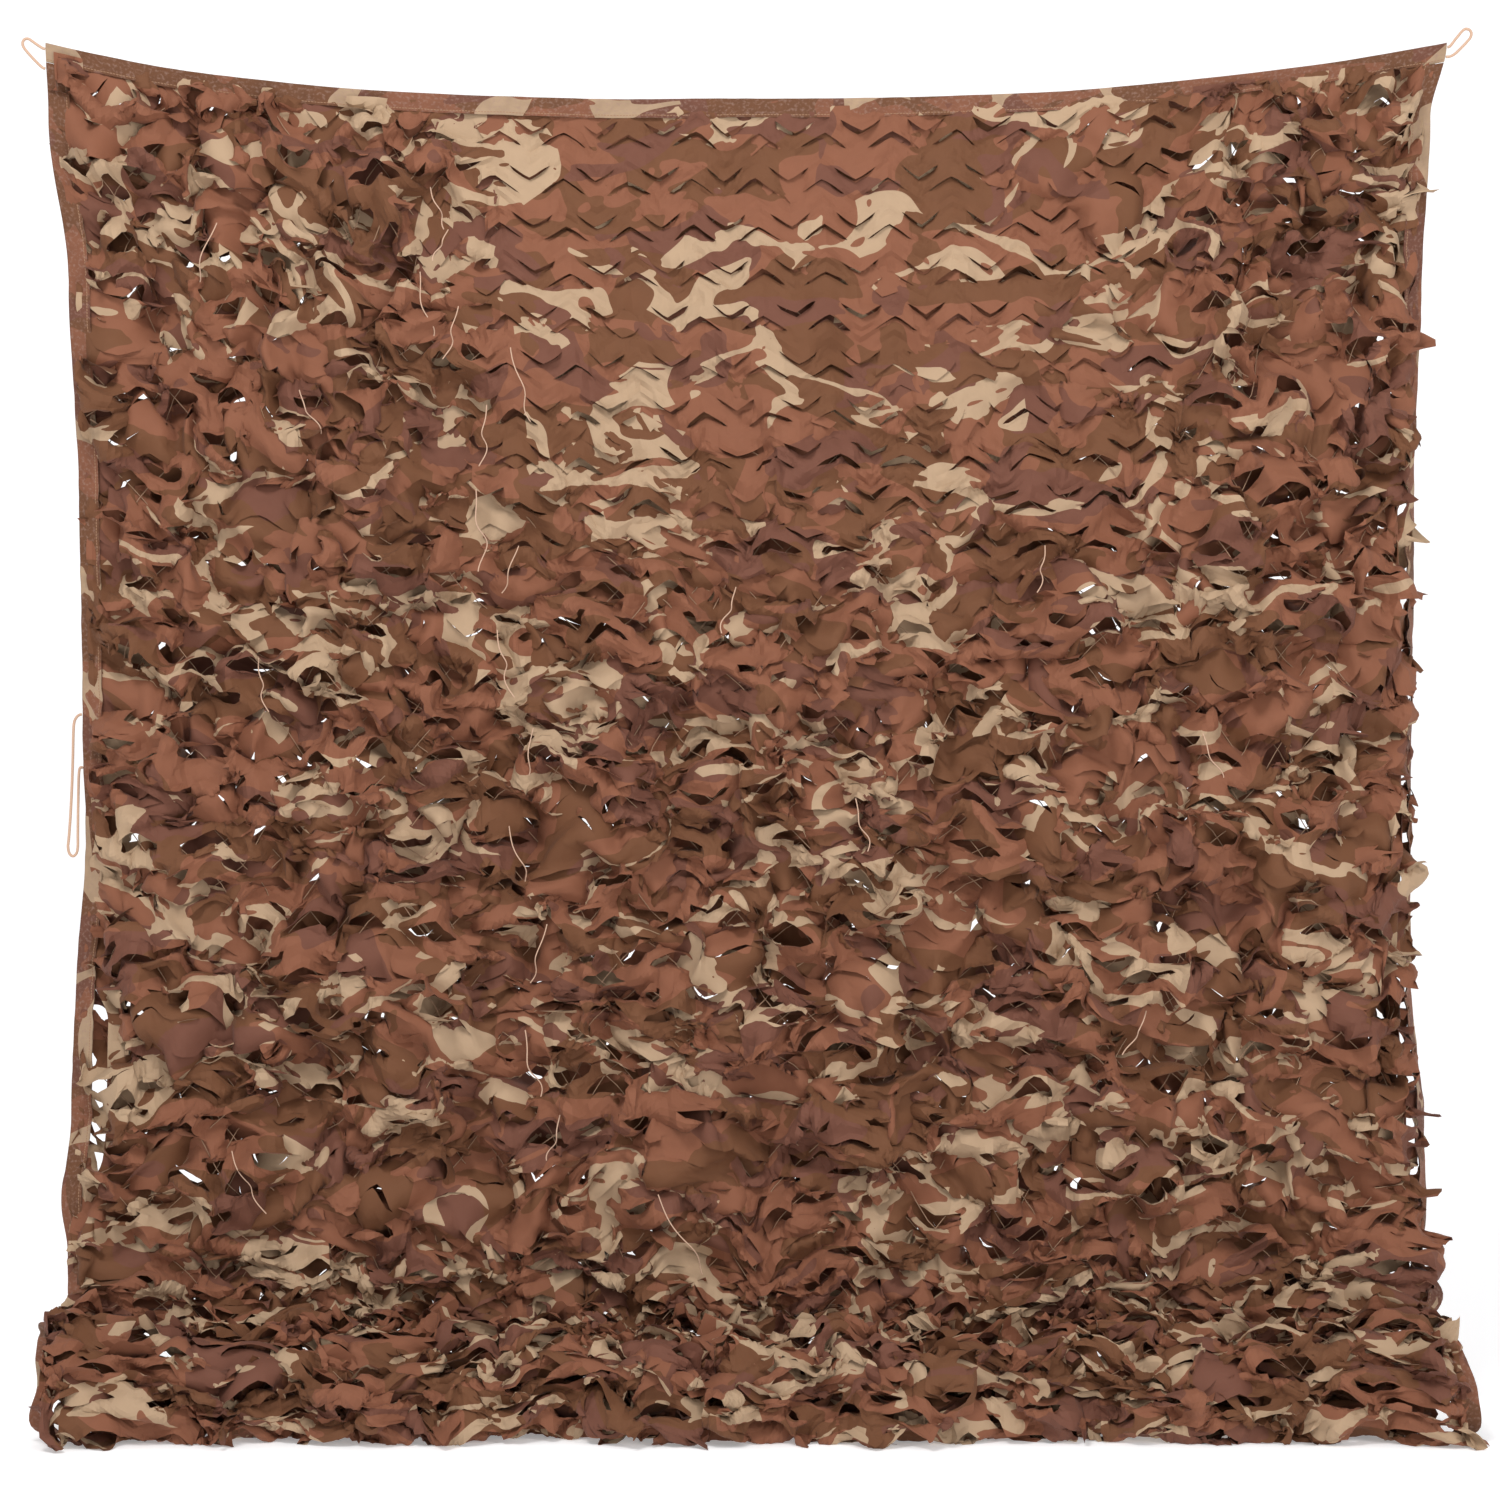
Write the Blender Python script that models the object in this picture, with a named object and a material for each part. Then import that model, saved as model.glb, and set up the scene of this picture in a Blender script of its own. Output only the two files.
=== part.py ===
"""Camouflage net of incised cloth, two metres by three, hung by its two top corners.

Metres, +Z up.  The net faces -Y and its width runs along X.  The origin is the middle of the
top edge, where the net is held; the floor under the heap is at -FLOOR_DROP.  Every piece is
drawn flat first, u across and s down the cloth, and drape() carries it to where it hangs.
"""
import math

import bpy
from mathutils import Vector
from mathutils.geometry import delaunay_2d_cdt

for old in list(bpy.data.objects):
    bpy.data.objects.remove(old)

# The flat net
NET_WIDTH = 2.00
NET_LENGTH = 3.00
HALF_WIDTH = NET_WIDTH / 2
TAPE_WIDTH = 0.031
CLOTH_THICK = 0.0020
TAPE_THICK = 0.0026
SEAM_GAP = 0.0015

# The hang
FLOOR_DROP = 1.885          # from the middle of the top edge down to the floor
CORNER_RISE = 0.080         # the corners are held this much above the middle
SAG_POWER_LEFT = 3.0        # how late the sagging edge climbs to each corner
SAG_POWER_RIGHT = 2.4
SAG_DEPTH = 1.50            # down the cloth, where its rows have become level
CRUMPLE = 0.130             # share of the length that small creases take up in the hang
HEAP_START = 0.300          # height over the floor where the cloth leaves the hanging plane
HANG_LENGTH = (FLOOR_DROP - HEAP_START) / (1 - CRUMPLE)
CURL_WIDTH = 0.060          # side strip that turns out of the plane with its tape

# Edges of the cloth: distance down it, x of both edges, and how far their strips turn back
EDGE_COLUMNS = ("down", "left", "right", "left_turn", "right_turn")
EDGE_ROWS = (
    (0.00, -1.007, 0.996, 0, 0),
    (0.12, -1.003, 0.974, 0, 8),
    (0.38, -0.975, 0.965, 8, 24),
    (0.68, -0.963, 0.962, 14, 62),
    (1.00, -0.960, 0.962, 18, 72),
    (1.22, -0.957, 0.959, 25, 74),
    (1.45, -0.969, 0.958, 22, 66),
    (1.67, -0.976, 0.972, 16, 60),
    (1.85, -0.990, 0.978, 12, 58),
    (1.96, -0.984, 0.985, 10, 30),
    (2.08, -0.992, 0.988, 6, 8),
    (2.20, -0.987, 0.992, 0, 0),
    (2.32, -0.958, 0.985, 0, 0),
    (2.50, -0.950, 0.940, 0, 0),
    (3.00, -0.945, 0.940, 0, 0),
)

# The heap in section, down the cloth: how far out in front of the hanging plane, and how high
HEAP_COLUMNS = ("out", "up")
HEAP_ROWS = (
    (0.000, 0.300),
    (0.010, 0.205),
    (0.042, 0.150),
    (0.100, 0.151),
    (0.165, 0.140),
    (0.216, 0.108),
    (0.238, 0.058),
    (0.224, 0.016),
    (0.180, 0.0035),
    (0.100, 0.0030),
    (0.034, 0.0040),
    (0.010, 0.019),
    (0.034, 0.034),
    (0.110, 0.032),
    (0.172, 0.035),
    (0.196, 0.052),
    (0.170, 0.068),
    (0.100, 0.064),
    (0.046, 0.066),
    (0.027, 0.082),
    (0.046, 0.098),
    (0.110, 0.096),
    (0.180, 0.102),
)
VISIBLE_BENDS = 9           # rows of the heap that show before the cloth tucks under

# Soft folds across the hang: distance down, how far they stand forward, half their height,
# how much they climb to the right, and the middle and half width of the stretch they cross
FOLD_COLUMNS = ("down", "out", "half", "climb", "middle", "reach")
FOLD_ROWS = (
    (0.38, 0.016, 0.055, 0.020, 0.00, 0.75),
    (0.62, 0.013, 0.050, -0.030, -0.55, 0.40),
    (0.88, 0.020, 0.070, 0.015, 0.20, 0.70),
    (1.12, 0.016, 0.055, -0.020, -0.40, 0.55),
    (1.24, 0.022, 0.060, 0.025, 0.45, 0.55),
    (1.50, 0.026, 0.060, 0.030, -0.15, 0.85),
    (1.66, 0.028, 0.055, -0.010, 0.30, 0.70),
    (1.79, 0.020, 0.045, 0.015, -0.45, 0.50),
)

# Billows across the width: amplitude, wavelength, phase, and how far the phase leans per metre
BILLOW_COLUMNS = ("depth", "wave", "phase", "lean")
BILLOW_ROWS = (
    (0.014, 0.620, 0.4, 1.1),
    (0.010, 0.330, 2.1, -2.3),
    (0.006, 0.210, 4.0, 3.7),
)
HEAP_SWELL_ROWS = (
    (0.060, 0.830, 1.0, 0.0),
    (0.055, 0.370, 3.4, 0.0),
    (0.035, 0.190, 0.7, 0.0),
)

# Cuts: every second one each way of the real rows, opened as its tongue droops
CUT_PITCH_ACROSS = 0.188
CUT_PITCH_DOWN = 0.133
CUT_WIDTH = 0.108
CUT_RISE = 0.050
CUT_LIP = 0.026             # how far the drooping tongue's edge lies below the cut
CUT_MARGIN = 0.016

# Mesh of the cloth
COLUMNS_HANG = 30
COLUMNS_HIDDEN = 14
HANG_ROW_STEP = CUT_PITCH_DOWN / 2
CLEAR_OF_CUT = 0.010

# Cords: x, y, z of their routes, each out of the tape and back into it
CORD_DIAMETER = 0.0040
LOOP_STEPS = 16
SLACK_STEPS = 40
LEFT_LOOP = (
    (-1.0076, -0.0004, 0.0713), (-1.0105, -0.0010, 0.0720), (-1.0150, -0.0015, 0.0745),
    (-1.0210, -0.0020, 0.0785), (-1.0265, -0.0020, 0.0825), (-1.0315, -0.0020, 0.0855),
    (-1.0365, -0.0020, 0.0850), (-1.0395, -0.0020, 0.0810), (-1.0390, -0.0020, 0.0750),
    (-1.0350, -0.0020, 0.0690), (-1.0290, -0.0020, 0.0620), (-1.0225, -0.0020, 0.0550),
    (-1.0160, -0.0015, 0.0485), (-1.0110, -0.0010, 0.0443), (-1.0076, -0.0006, 0.0433),
)
RIGHT_LOOP = (
    (0.9969, -0.0011, 0.0740), (0.9998, -0.0015, 0.0745), (1.0036, -0.0020, 0.0785),
    (1.0080, -0.0020, 0.0845), (1.0130, -0.0020, 0.0905), (1.0175, -0.0020, 0.0960),
    (1.0225, -0.0020, 0.0995), (1.0280, -0.0020, 0.0985), (1.0310, -0.0020, 0.0940),
    (1.0300, -0.0020, 0.0880), (1.0260, -0.0020, 0.0825), (1.0205, -0.0020, 0.0765),
    (1.0140, -0.0020, 0.0700), (1.0075, -0.0018, 0.0640), (1.0010, -0.0012, 0.0606),
    (0.9948, -0.0005, 0.0601),
)
SLACK_LOOP = (
    (-0.9614, 0.0318, -0.8800), (-0.9645, 0.0312, -0.8803), (-0.9685, 0.0280, -0.8840),
    (-0.9715, 0.0260, -0.8920), (-0.9725, 0.0250, -0.9100), (-0.9730, 0.0245, -0.9400),
    (-0.9738, 0.0240, -0.9700), (-0.9750, 0.0235, -1.0000), (-0.9765, 0.0230, -1.0300),
    (-0.9785, 0.0225, -1.0580), (-0.9795, 0.0220, -1.0700), (-0.9775, 0.0220, -1.0795),
    (-0.9725, 0.0220, -1.0835), (-0.9675, 0.0220, -1.0795), (-0.9655, 0.0220, -1.0700),
    (-0.9655, 0.0225, -1.0500), (-0.9653, 0.0230, -1.0200), (-0.9650, 0.0240, -0.9900),
    (-0.9648, 0.0255, -0.9700), (-0.9640, 0.0290, -0.9575), (-0.9603, 0.0318, -0.9560),
)

# Colours, linear
BROWN = (0.245, 0.108, 0.068, 1.0)
TAPE_BROWN = (0.205, 0.096, 0.068, 1.0)
CORD_BEIGE = (0.50, 0.34, 0.24, 1.0)


def smooth(value):
    """0 below 0, 1 above 1, and an even slope between."""
    value = min(max(value, 0.0), 1.0)
    return value * value * (3 - 2 * value)


def through(rows, place):
    """Catmull-Rom curve through rows of numbers, at a place counted in rows."""
    last = len(rows) - 1
    index = min(max(int(place), 0), last - 1)
    t = place - index
    before, start, end, after = (rows[min(max(index + k, 0), last)] for k in (-1, 0, 1, 2))
    return [0.5 * (2 * b + (c - a) * t + (2 * a - 5 * b + 4 * c - d) * t * t
                   + (3 * b - a - 3 * c + d) * t ** 3)
            for a, b, c, d in zip(before, start, end, after)]


def lengths_along(rows, parts=24):
    """Distance along the curve through rows at every 1/parts of a row."""
    distances = [0.0]
    point = through(rows, 0)
    for step in range(1, (len(rows) - 1) * parts + 1):
        following = through(rows, step / parts)
        distances.append(distances[-1] + math.dist(point, following))
        point = following
    return distances


def place_at(distances, distance, parts=24):
    """Place, in rows, of the point that far along the curve."""
    low, high = 0, len(distances) - 1
    while high - low > 1:
        middle = (low + high) // 2
        if distances[middle] <= distance:
            low = middle
        else:
            high = middle
    share = (distance - distances[low]) / (distances[high] - distances[low])
    return (low + min(max(share, 0.0), 1.0)) / parts


HEAP_LENGTHS = lengths_along(HEAP_ROWS)


def edges_at(down):
    """The edge table's row at a distance down the cloth."""
    for row, following in zip(EDGE_ROWS, EDGE_ROWS[1:]):
        if down <= following[0]:
            t = smooth((down - row[0]) / (following[0] - row[0]))
            return [a + (b - a) * t for a, b in zip(row[1:], following[1:])]
    return EDGE_ROWS[-1][1:]


def waves(rows, across, down):
    """Sum of the billows in a table at a point of the cloth."""
    return sum(depth * math.sin(2 * math.pi * across / wave + phase + lean * down)
               for depth, wave, phase, lean in rows)


def hang_relief(across, down):
    """How far the hanging cloth stands forward of its plane."""
    top_hold = 0.2 + 0.8 * smooth(down / 0.6)
    relief = waves(BILLOW_ROWS, across, down) * top_hold
    for row in FOLD_ROWS:
        fold = dict(zip(FOLD_COLUMNS, row))
        off = (down - fold["down"] + fold["climb"] * across) / fold["half"]
        side = (across - fold["middle"]) / fold["reach"]
        relief += fold["out"] * math.exp(-off * off - side ** 4)
    return relief


def sheet_point(across, down):
    """x, y, z of the cloth before its side strips turn."""
    in_heap = smooth((down - HANG_LENGTH + 0.10) / 0.25)
    if down < HANG_LENGTH:
        out, up = 0.0, FLOOR_DROP - down * (1 - CRUMPLE)
    else:
        out, up = through(HEAP_ROWS, place_at(HEAP_LENGTHS, down - HANG_LENGTH))
    swell = 1 + in_heap * waves(HEAP_SWELL_ROWS, across, 0)
    flatten = 1 + 0.7 * in_heap * waves(HEAP_SWELL_ROWS, across + 0.11, 0)
    up *= 1 + (flatten - 1) * smooth(up / 0.06)
    side = across / HALF_WIDTH
    power = SAG_POWER_LEFT if side < 0 else SAG_POWER_RIGHT
    rise = CORNER_RISE * abs(side) ** power * (1 - smooth(down / SAG_DEPTH))
    forward = out * swell + (1 - in_heap) * hang_relief(across, down)
    return forward, up - FLOOR_DROP + rise


def drape(across, down):
    """Where the point of the flat net, across and down, comes to lie."""
    left, right, left_turn, right_turn = edges_at(down)
    left_hinge = left + CURL_WIDTH * math.cos(math.radians(left_turn))
    right_hinge = right - CURL_WIDTH * math.cos(math.radians(right_turn))
    inner = HALF_WIDTH - CURL_WIDTH
    held = min(max(across, -inner), inner)
    forward, z = sheet_point(held, down)
    if abs(across) > inner:
        z += sheet_point(across, down)[1] - z
    x = left_hinge + (right_hinge - left_hinge) * (held + inner) / (2 * inner)
    beyond = across - held
    turn = math.radians(right_turn if beyond > 0 else left_turn)
    x += beyond * math.cos(turn)
    forward -= abs(beyond) * math.sin(turn)
    return Vector((x, -forward, z))


def material(name, colour, roughness):
    """A plain Principled material."""
    made = bpy.data.materials.new(name)
    made.use_nodes = True
    shader = made.node_tree.nodes["Principled BSDF"]
    shader.inputs["Base Color"].default_value = colour
    shader.inputs["Roughness"].default_value = roughness
    shader.inputs["Metallic"].default_value = 0.0
    made.diffuse_color = colour
    return made


def draped_sheet(name, points, faces, thickness, look):
    """A flat layout of (across, down) points and faces, draped and given its thickness."""
    mesh = bpy.data.meshes.new(name)
    mesh.from_pydata([drape(*point) for point in points], [], faces)
    mesh.materials.append(look)
    mesh.shade_smooth()
    sheet = bpy.data.objects.new(name, mesh)
    bpy.context.collection.objects.link(sheet)
    solid = sheet.modifiers.new("thickness", "SOLIDIFY")
    solid.thickness = thickness
    solid.offset = 0
    return sheet


def steps(start, end, longest):
    """Evenly spaced values from start to end, no further apart than longest."""
    count = math.ceil((end - start) / longest - 1e-6)
    return [start + (end - start) * k / count for k in range(count + 1)]


def heap_rows_down(per_bend_shown, per_bend_hidden):
    """Distances down the cloth of the mesh rows in the heap, close together where it shows."""
    parts = len(HEAP_LENGTHS) // (len(HEAP_ROWS) - 1)
    places = [k / per_bend_shown for k in range(1, VISIBLE_BENDS * per_bend_shown)]
    places += [VISIBLE_BENDS + k / per_bend_hidden
               for k in range((len(HEAP_ROWS) - 1 - VISIBLE_BENDS) * per_bend_hidden + 1)]
    return [HANG_LENGTH + HEAP_LENGTHS[round(place * parts)] for place in places]


CLOTH_TOP = TAPE_WIDTH + SEAM_GAP
CLOTH_SIDE = HALF_WIDTH - TAPE_WIDTH - SEAM_GAP
CLOTH_END = NET_LENGTH - TAPE_WIDTH - SEAM_GAP

HANG_DOWNS = steps(CLOTH_TOP, HANG_LENGTH, HANG_ROW_STEP)
HEAP_DOWNS = [down for down in heap_rows_down(2, 1) if down < CLOTH_END - 0.01] + [CLOTH_END]
SHOWN_ACROSS = steps(-CLOTH_SIDE, CLOTH_SIDE, 2 * CLOTH_SIDE / COLUMNS_HANG)
HIDDEN_ACROSS = steps(-CLOTH_SIDE, CLOTH_SIDE, 2 * CLOTH_SIDE / COLUMNS_HIDDEN)
HIDDEN_FROM = HANG_LENGTH + HEAP_LENGTHS[VISIBLE_BENDS * 24]


def cut_outline(across, down, upward):
    """Outline of one opened cut: a rounded chevron with its point up or down."""
    half = CUT_WIDTH / 2
    shape = ((-half, CUT_RISE), (-0.14 * half, 0.0), (0.14 * half, 0.0), (half, CUT_RISE),
             (0.22 * half, CUT_LIP), (-0.22 * half, CUT_LIP))
    flip = 1 if upward else -1
    return [(across + x * flip, down + (y - CUT_RISE / 2) * flip) for x, y in shape]


def cut_places():
    """Middles of the cuts, every other row shifted by half a pitch and turned over."""
    rows = int((CLOTH_END - CLOTH_TOP - 2 * CUT_MARGIN - CUT_RISE) / CUT_PITCH_DOWN) + 1
    for row in range(rows):
        down = CLOTH_TOP + CUT_MARGIN + CUT_RISE / 2 + row * CUT_PITCH_DOWN
        count = 10 if row % 2 == 0 else 9
        for column in range(count):
            yield (column - (count - 1) / 2) * CUT_PITCH_ACROSS, down, row % 2 == 0


def inside(point, outline):
    """Whether a point lies inside a closed outline."""
    x, y = point
    found = False
    for (ax, ay), (bx, by) in zip(outline, outline[1:] + outline[:1]):
        if (ay > y) != (by > y) and x < ax + (y - ay) * (bx - ax) / (by - ay):
            found = not found
    return found


def near(point, outline, reach):
    """Whether a point lies within reach of an outline's edges."""
    place = Vector(point)
    for start, end in zip(outline, outline[1:] + outline[:1]):
        start, end = Vector(start), Vector(end)
        along = (end - start) * min(max((place - start).dot(end - start)
                                        / (end - start).length_squared, 0), 1)
        if (place - start - along).length < reach:
            return True
    return False


def net_cloth():
    """The incised cloth: a triangulated sheet with its cuts left out, then draped."""
    outlines = [cut_outline(*place) for place in cut_places()]
    points = []
    edges = []
    for down in HANG_DOWNS + HEAP_DOWNS:
        for across in SHOWN_ACROSS if down < HIDDEN_FROM else HIDDEN_ACROSS:
            near_cut = any(abs(across - x) < CUT_WIDTH and abs(down - y) < CUT_PITCH_DOWN / 2
                           and (inside((across, down), line)
                                or near((across, down), line, CLEAR_OF_CUT))
                           for (x, y, _), line in zip(cut_places(), outlines))
            if not near_cut:
                points.append((across, down))
    for outline in outlines:
        first = len(points)
        points.extend(outline)
        edges += [(first + k, first + (k + 1) % len(outline)) for k in range(len(outline))]
    flat, _, faces, *_ = delaunay_2d_cdt([Vector(p) for p in points], edges, [], 0, 1e-6)
    kept = []
    for face in faces:
        middle = sum((flat[k] for k in face), Vector((0, 0))) / 3
        in_cut = any(abs(middle.x - x) < CUT_WIDTH and abs(middle.y - y) < CUT_PITCH_DOWN / 2
                     and inside(middle, line)
                     for (x, y, _), line in zip(cut_places(), outlines))
        if not in_cut:
            kept.append(face)
    return draped_sheet("net_cloth", flat, kept, CLOTH_THICK, CLOTH_LOOK)


def tape(name, acrosses, downs):
    """A strip of binding tape on a grid of the flat net."""
    points = [(across, down) for down in downs for across in acrosses]
    wide = len(acrosses)
    faces = [(r * wide + c, r * wide + c + 1, (r + 1) * wide + c + 1, (r + 1) * wide + c)
             for r in range(len(downs) - 1) for c in range(wide - 1)]
    return draped_sheet(name, points, faces, TAPE_THICK, TAPE_LOOK)


def cord(name, route, samples):
    """A cord on a smooth curve through its route's points."""
    distances = lengths_along(route)
    curve = bpy.data.curves.new(name, "CURVE")
    curve.dimensions = "3D"
    curve.bevel_depth = CORD_DIAMETER / 2
    curve.bevel_resolution = 2
    curve.use_fill_caps = True
    spline = curve.splines.new("POLY")
    spline.points.add(samples)
    for k in range(samples + 1):
        point = through(route, place_at(distances, distances[-1] * k / samples))
        spline.points[k].co = (*point, 1)
    curve.materials.append(CORD_LOOK)
    made = bpy.data.objects.new(name, curve)
    bpy.context.collection.objects.link(made)
    return made


CLOTH_LOOK = material("printed_cloth", BROWN, 0.85)
TAPE_LOOK = material("binding_tape", TAPE_BROWN, 0.85)
CORD_LOOK = material("cord", CORD_BEIGE, 0.8)

net_cloth()
side_downs = HANG_DOWNS + HEAP_DOWNS
tape("tape_top", [-HALF_WIDTH, *SHOWN_ACROSS, HALF_WIDTH], (0.0, TAPE_WIDTH))
tape("tape_bottom", [-HALF_WIDTH, *HIDDEN_ACROSS, HALF_WIDTH],
     (NET_LENGTH - TAPE_WIDTH, NET_LENGTH))
tape("tape_left", (-HALF_WIDTH, TAPE_WIDTH - HALF_WIDTH), side_downs)
tape("tape_right", (HALF_WIDTH - TAPE_WIDTH, HALF_WIDTH), side_downs)
cord("loop_left", LEFT_LOOP, LOOP_STEPS)
cord("loop_right", RIGHT_LOOP, LOOP_STEPS)
cord("loop_slack", SLACK_LOOP, SLACK_STEPS)
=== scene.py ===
"""The looks of a hung camouflage net: incised cloth, bound edges, cords, string mesh and threads.

Metres, +Z up, the net faces -Y, the origin is the middle of its top edge.  The cloth is drawn
flat (across, down) with its rows of cuts, and laid on the draped form that the solids have.
There it is crumpled and relaxed, its tongues turn about their roots, and last it is creased.
"""
import math

import bpy
import numpy as np
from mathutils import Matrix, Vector


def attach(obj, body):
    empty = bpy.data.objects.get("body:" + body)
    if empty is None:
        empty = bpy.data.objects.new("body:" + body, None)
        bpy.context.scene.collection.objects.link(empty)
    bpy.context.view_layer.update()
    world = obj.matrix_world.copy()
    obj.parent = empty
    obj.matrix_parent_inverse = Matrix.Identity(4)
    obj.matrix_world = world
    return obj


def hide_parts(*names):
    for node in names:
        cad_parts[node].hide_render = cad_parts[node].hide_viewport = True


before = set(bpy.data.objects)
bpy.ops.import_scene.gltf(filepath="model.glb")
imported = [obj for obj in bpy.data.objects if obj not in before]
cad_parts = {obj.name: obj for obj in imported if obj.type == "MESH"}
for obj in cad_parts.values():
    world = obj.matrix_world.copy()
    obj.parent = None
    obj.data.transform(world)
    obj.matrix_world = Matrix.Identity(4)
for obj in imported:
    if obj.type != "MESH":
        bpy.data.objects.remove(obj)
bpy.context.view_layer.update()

# ---------------- sizes shared with the solids
HALF_WIDTH = 1.00
NET_LENGTH = 3.00
TAPE_WIDTH = 0.031
TAPE_HALF = 0.0016  # from the middle of a tape to its faces
FLOOR_DROP = 1.885
CORNER_RISE = 0.080
SAG_POWER_LEFT = 3.0
SAG_POWER_RIGHT = 2.4
SAG_DEPTH = 1.50
CRUMPLE = 0.130
HEAP_START = 0.300
HANG_LENGTH = (FLOOR_DROP - HEAP_START) / (1 - CRUMPLE)
CURL_WIDTH = 0.060
CORD_DIAMETER = 0.0040

# down the cloth, x of the left and right edges, degrees that their strips turn back
EDGE_ROWS = np.array((
    (0.00, -1.007, 0.996, 0, 0),
    (0.12, -1.003, 0.974, 0, 8),
    (0.38, -0.975, 0.965, 8, 24),
    (0.68, -0.963, 0.962, 14, 62),
    (1.00, -0.960, 0.962, 18, 72),
    (1.22, -0.957, 0.959, 25, 74),
    (1.45, -0.969, 0.958, 22, 66),
    (1.67, -0.976, 0.972, 16, 60),
    (1.85, -0.990, 0.978, 12, 58),
    (1.96, -0.984, 0.985, 10, 30),
    (2.08, -0.992, 0.988, 6, 8),
    (2.20, -0.987, 0.992, 0, 0),
    (2.32, -0.958, 0.985, 0, 0),
    (2.50, -0.950, 0.940, 0, 0),
    (3.00, -0.945, 0.940, 0, 0),
))

# the heap in section: out in front of the hanging plane, and up from the floor
HEAP_ROWS = np.array((
    (0.000, 0.300),
    (0.010, 0.205),
    (0.042, 0.150),
    (0.100, 0.151),
    (0.165, 0.140),
    (0.216, 0.108),
    (0.238, 0.058),
    (0.224, 0.016),
    (0.180, 0.0035),
    (0.100, 0.0030),
    (0.034, 0.0040),
    (0.010, 0.019),
    (0.034, 0.034),
    (0.110, 0.032),
    (0.172, 0.035),
    (0.196, 0.052),
    (0.170, 0.068),
    (0.100, 0.064),
    (0.046, 0.066),
    (0.027, 0.082),
    (0.046, 0.098),
    (0.110, 0.096),
    (0.180, 0.102),
))

# down, out, half height, climb to the right, middle and half width of each soft fold
FOLD_ROWS = (
    (0.38, 0.016, 0.055, 0.020, 0.00, 0.75),
    (0.62, 0.013, 0.050, -0.030, -0.55, 0.40),
    (0.88, 0.020, 0.070, 0.015, 0.20, 0.70),
    (1.12, 0.016, 0.055, -0.020, -0.40, 0.55),
    (1.24, 0.022, 0.060, 0.025, 0.45, 0.55),
    (1.50, 0.026, 0.060, 0.030, -0.15, 0.85),
    (1.66, 0.028, 0.055, -0.010, 0.30, 0.70),
    (1.79, 0.020, 0.045, 0.015, -0.45, 0.50),
)

# depth, wavelength, phase, lean of the billows, and of the heap's swelling
BILLOW_ROWS = ((0.014, 0.620, 0.4, 1.1), (0.010, 0.330, 2.1, -2.3), (0.006, 0.210, 4.0, 3.7))
HEAP_SWELL_ROWS = ((0.060, 0.830, 1.0, 0.0), (0.055, 0.370, 3.4, 0.0), (0.035, 0.190, 0.7, 0.0))
BILLOW_AT_TOP = 0.2  # share of the billows at the top, and how far down they are full
BILLOW_FULL = 0.6
HEAP_SWELLS = -0.10, 0.25  # span past the end of the hang over which the swelling comes in
LUMP_SHARE = 0.7  # of the swelling forward that the heap also has upwards
LUMP_SHIFT = 0.11
LUMP_HEIGHT = 0.06  # height at which it has this in full

# cords: x, y, z of their routes, each out of the tape and back into it
LEFT_LOOP = (
    (-1.0076, -0.0004, 0.0713), (-1.0105, -0.0010, 0.0720), (-1.0150, -0.0015, 0.0745),
    (-1.0210, -0.0020, 0.0785), (-1.0265, -0.0020, 0.0825), (-1.0315, -0.0020, 0.0855),
    (-1.0365, -0.0020, 0.0850), (-1.0395, -0.0020, 0.0810), (-1.0390, -0.0020, 0.0750),
    (-1.0350, -0.0020, 0.0690), (-1.0290, -0.0020, 0.0620), (-1.0225, -0.0020, 0.0550),
    (-1.0160, -0.0015, 0.0485), (-1.0110, -0.0010, 0.0443), (-1.0076, -0.0006, 0.0433),
)
RIGHT_LOOP = (
    (0.9969, -0.0011, 0.0740), (0.9998, -0.0015, 0.0745), (1.0036, -0.0020, 0.0785),
    (1.0080, -0.0020, 0.0845), (1.0130, -0.0020, 0.0905), (1.0175, -0.0020, 0.0960),
    (1.0225, -0.0020, 0.0995), (1.0280, -0.0020, 0.0985), (1.0310, -0.0020, 0.0940),
    (1.0300, -0.0020, 0.0880), (1.0260, -0.0020, 0.0825), (1.0205, -0.0020, 0.0765),
    (1.0140, -0.0020, 0.0700), (1.0075, -0.0018, 0.0640), (1.0010, -0.0012, 0.0606),
    (0.9948, -0.0005, 0.0601),
)
SLACK_LOOP = (
    (-0.9614, 0.0318, -0.8800), (-0.9645, 0.0312, -0.8803), (-0.9685, 0.0280, -0.8840),
    (-0.9715, 0.0260, -0.8920), (-0.9725, 0.0250, -0.9100), (-0.9730, 0.0245, -0.9400),
    (-0.9738, 0.0240, -0.9700), (-0.9750, 0.0235, -1.0000), (-0.9765, 0.0230, -1.0300),
    (-0.9785, 0.0225, -1.0580), (-0.9795, 0.0220, -1.0700), (-0.9775, 0.0220, -1.0795),
    (-0.9725, 0.0220, -1.0835), (-0.9675, 0.0220, -1.0795), (-0.9655, 0.0220, -1.0700),
    (-0.9655, 0.0225, -1.0500), (-0.9653, 0.0230, -1.0200), (-0.9650, 0.0240, -0.9900),
    (-0.9648, 0.0255, -0.9700), (-0.9640, 0.0290, -0.9575), (-0.9603, 0.0318, -0.9560),
)


# ---------------- the draped form
def smooth(value):
    """0 below 0, 1 above 1, and an even slope between."""
    value = np.clip(value, 0.0, 1.0)
    return value * value * (3 - 2 * value)


def ramp(value, span):
    """0 before a span, 1 past it, and an even slope in it: a span is a start and a length."""
    start, length = span
    return smooth((value - start) / length)


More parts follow.
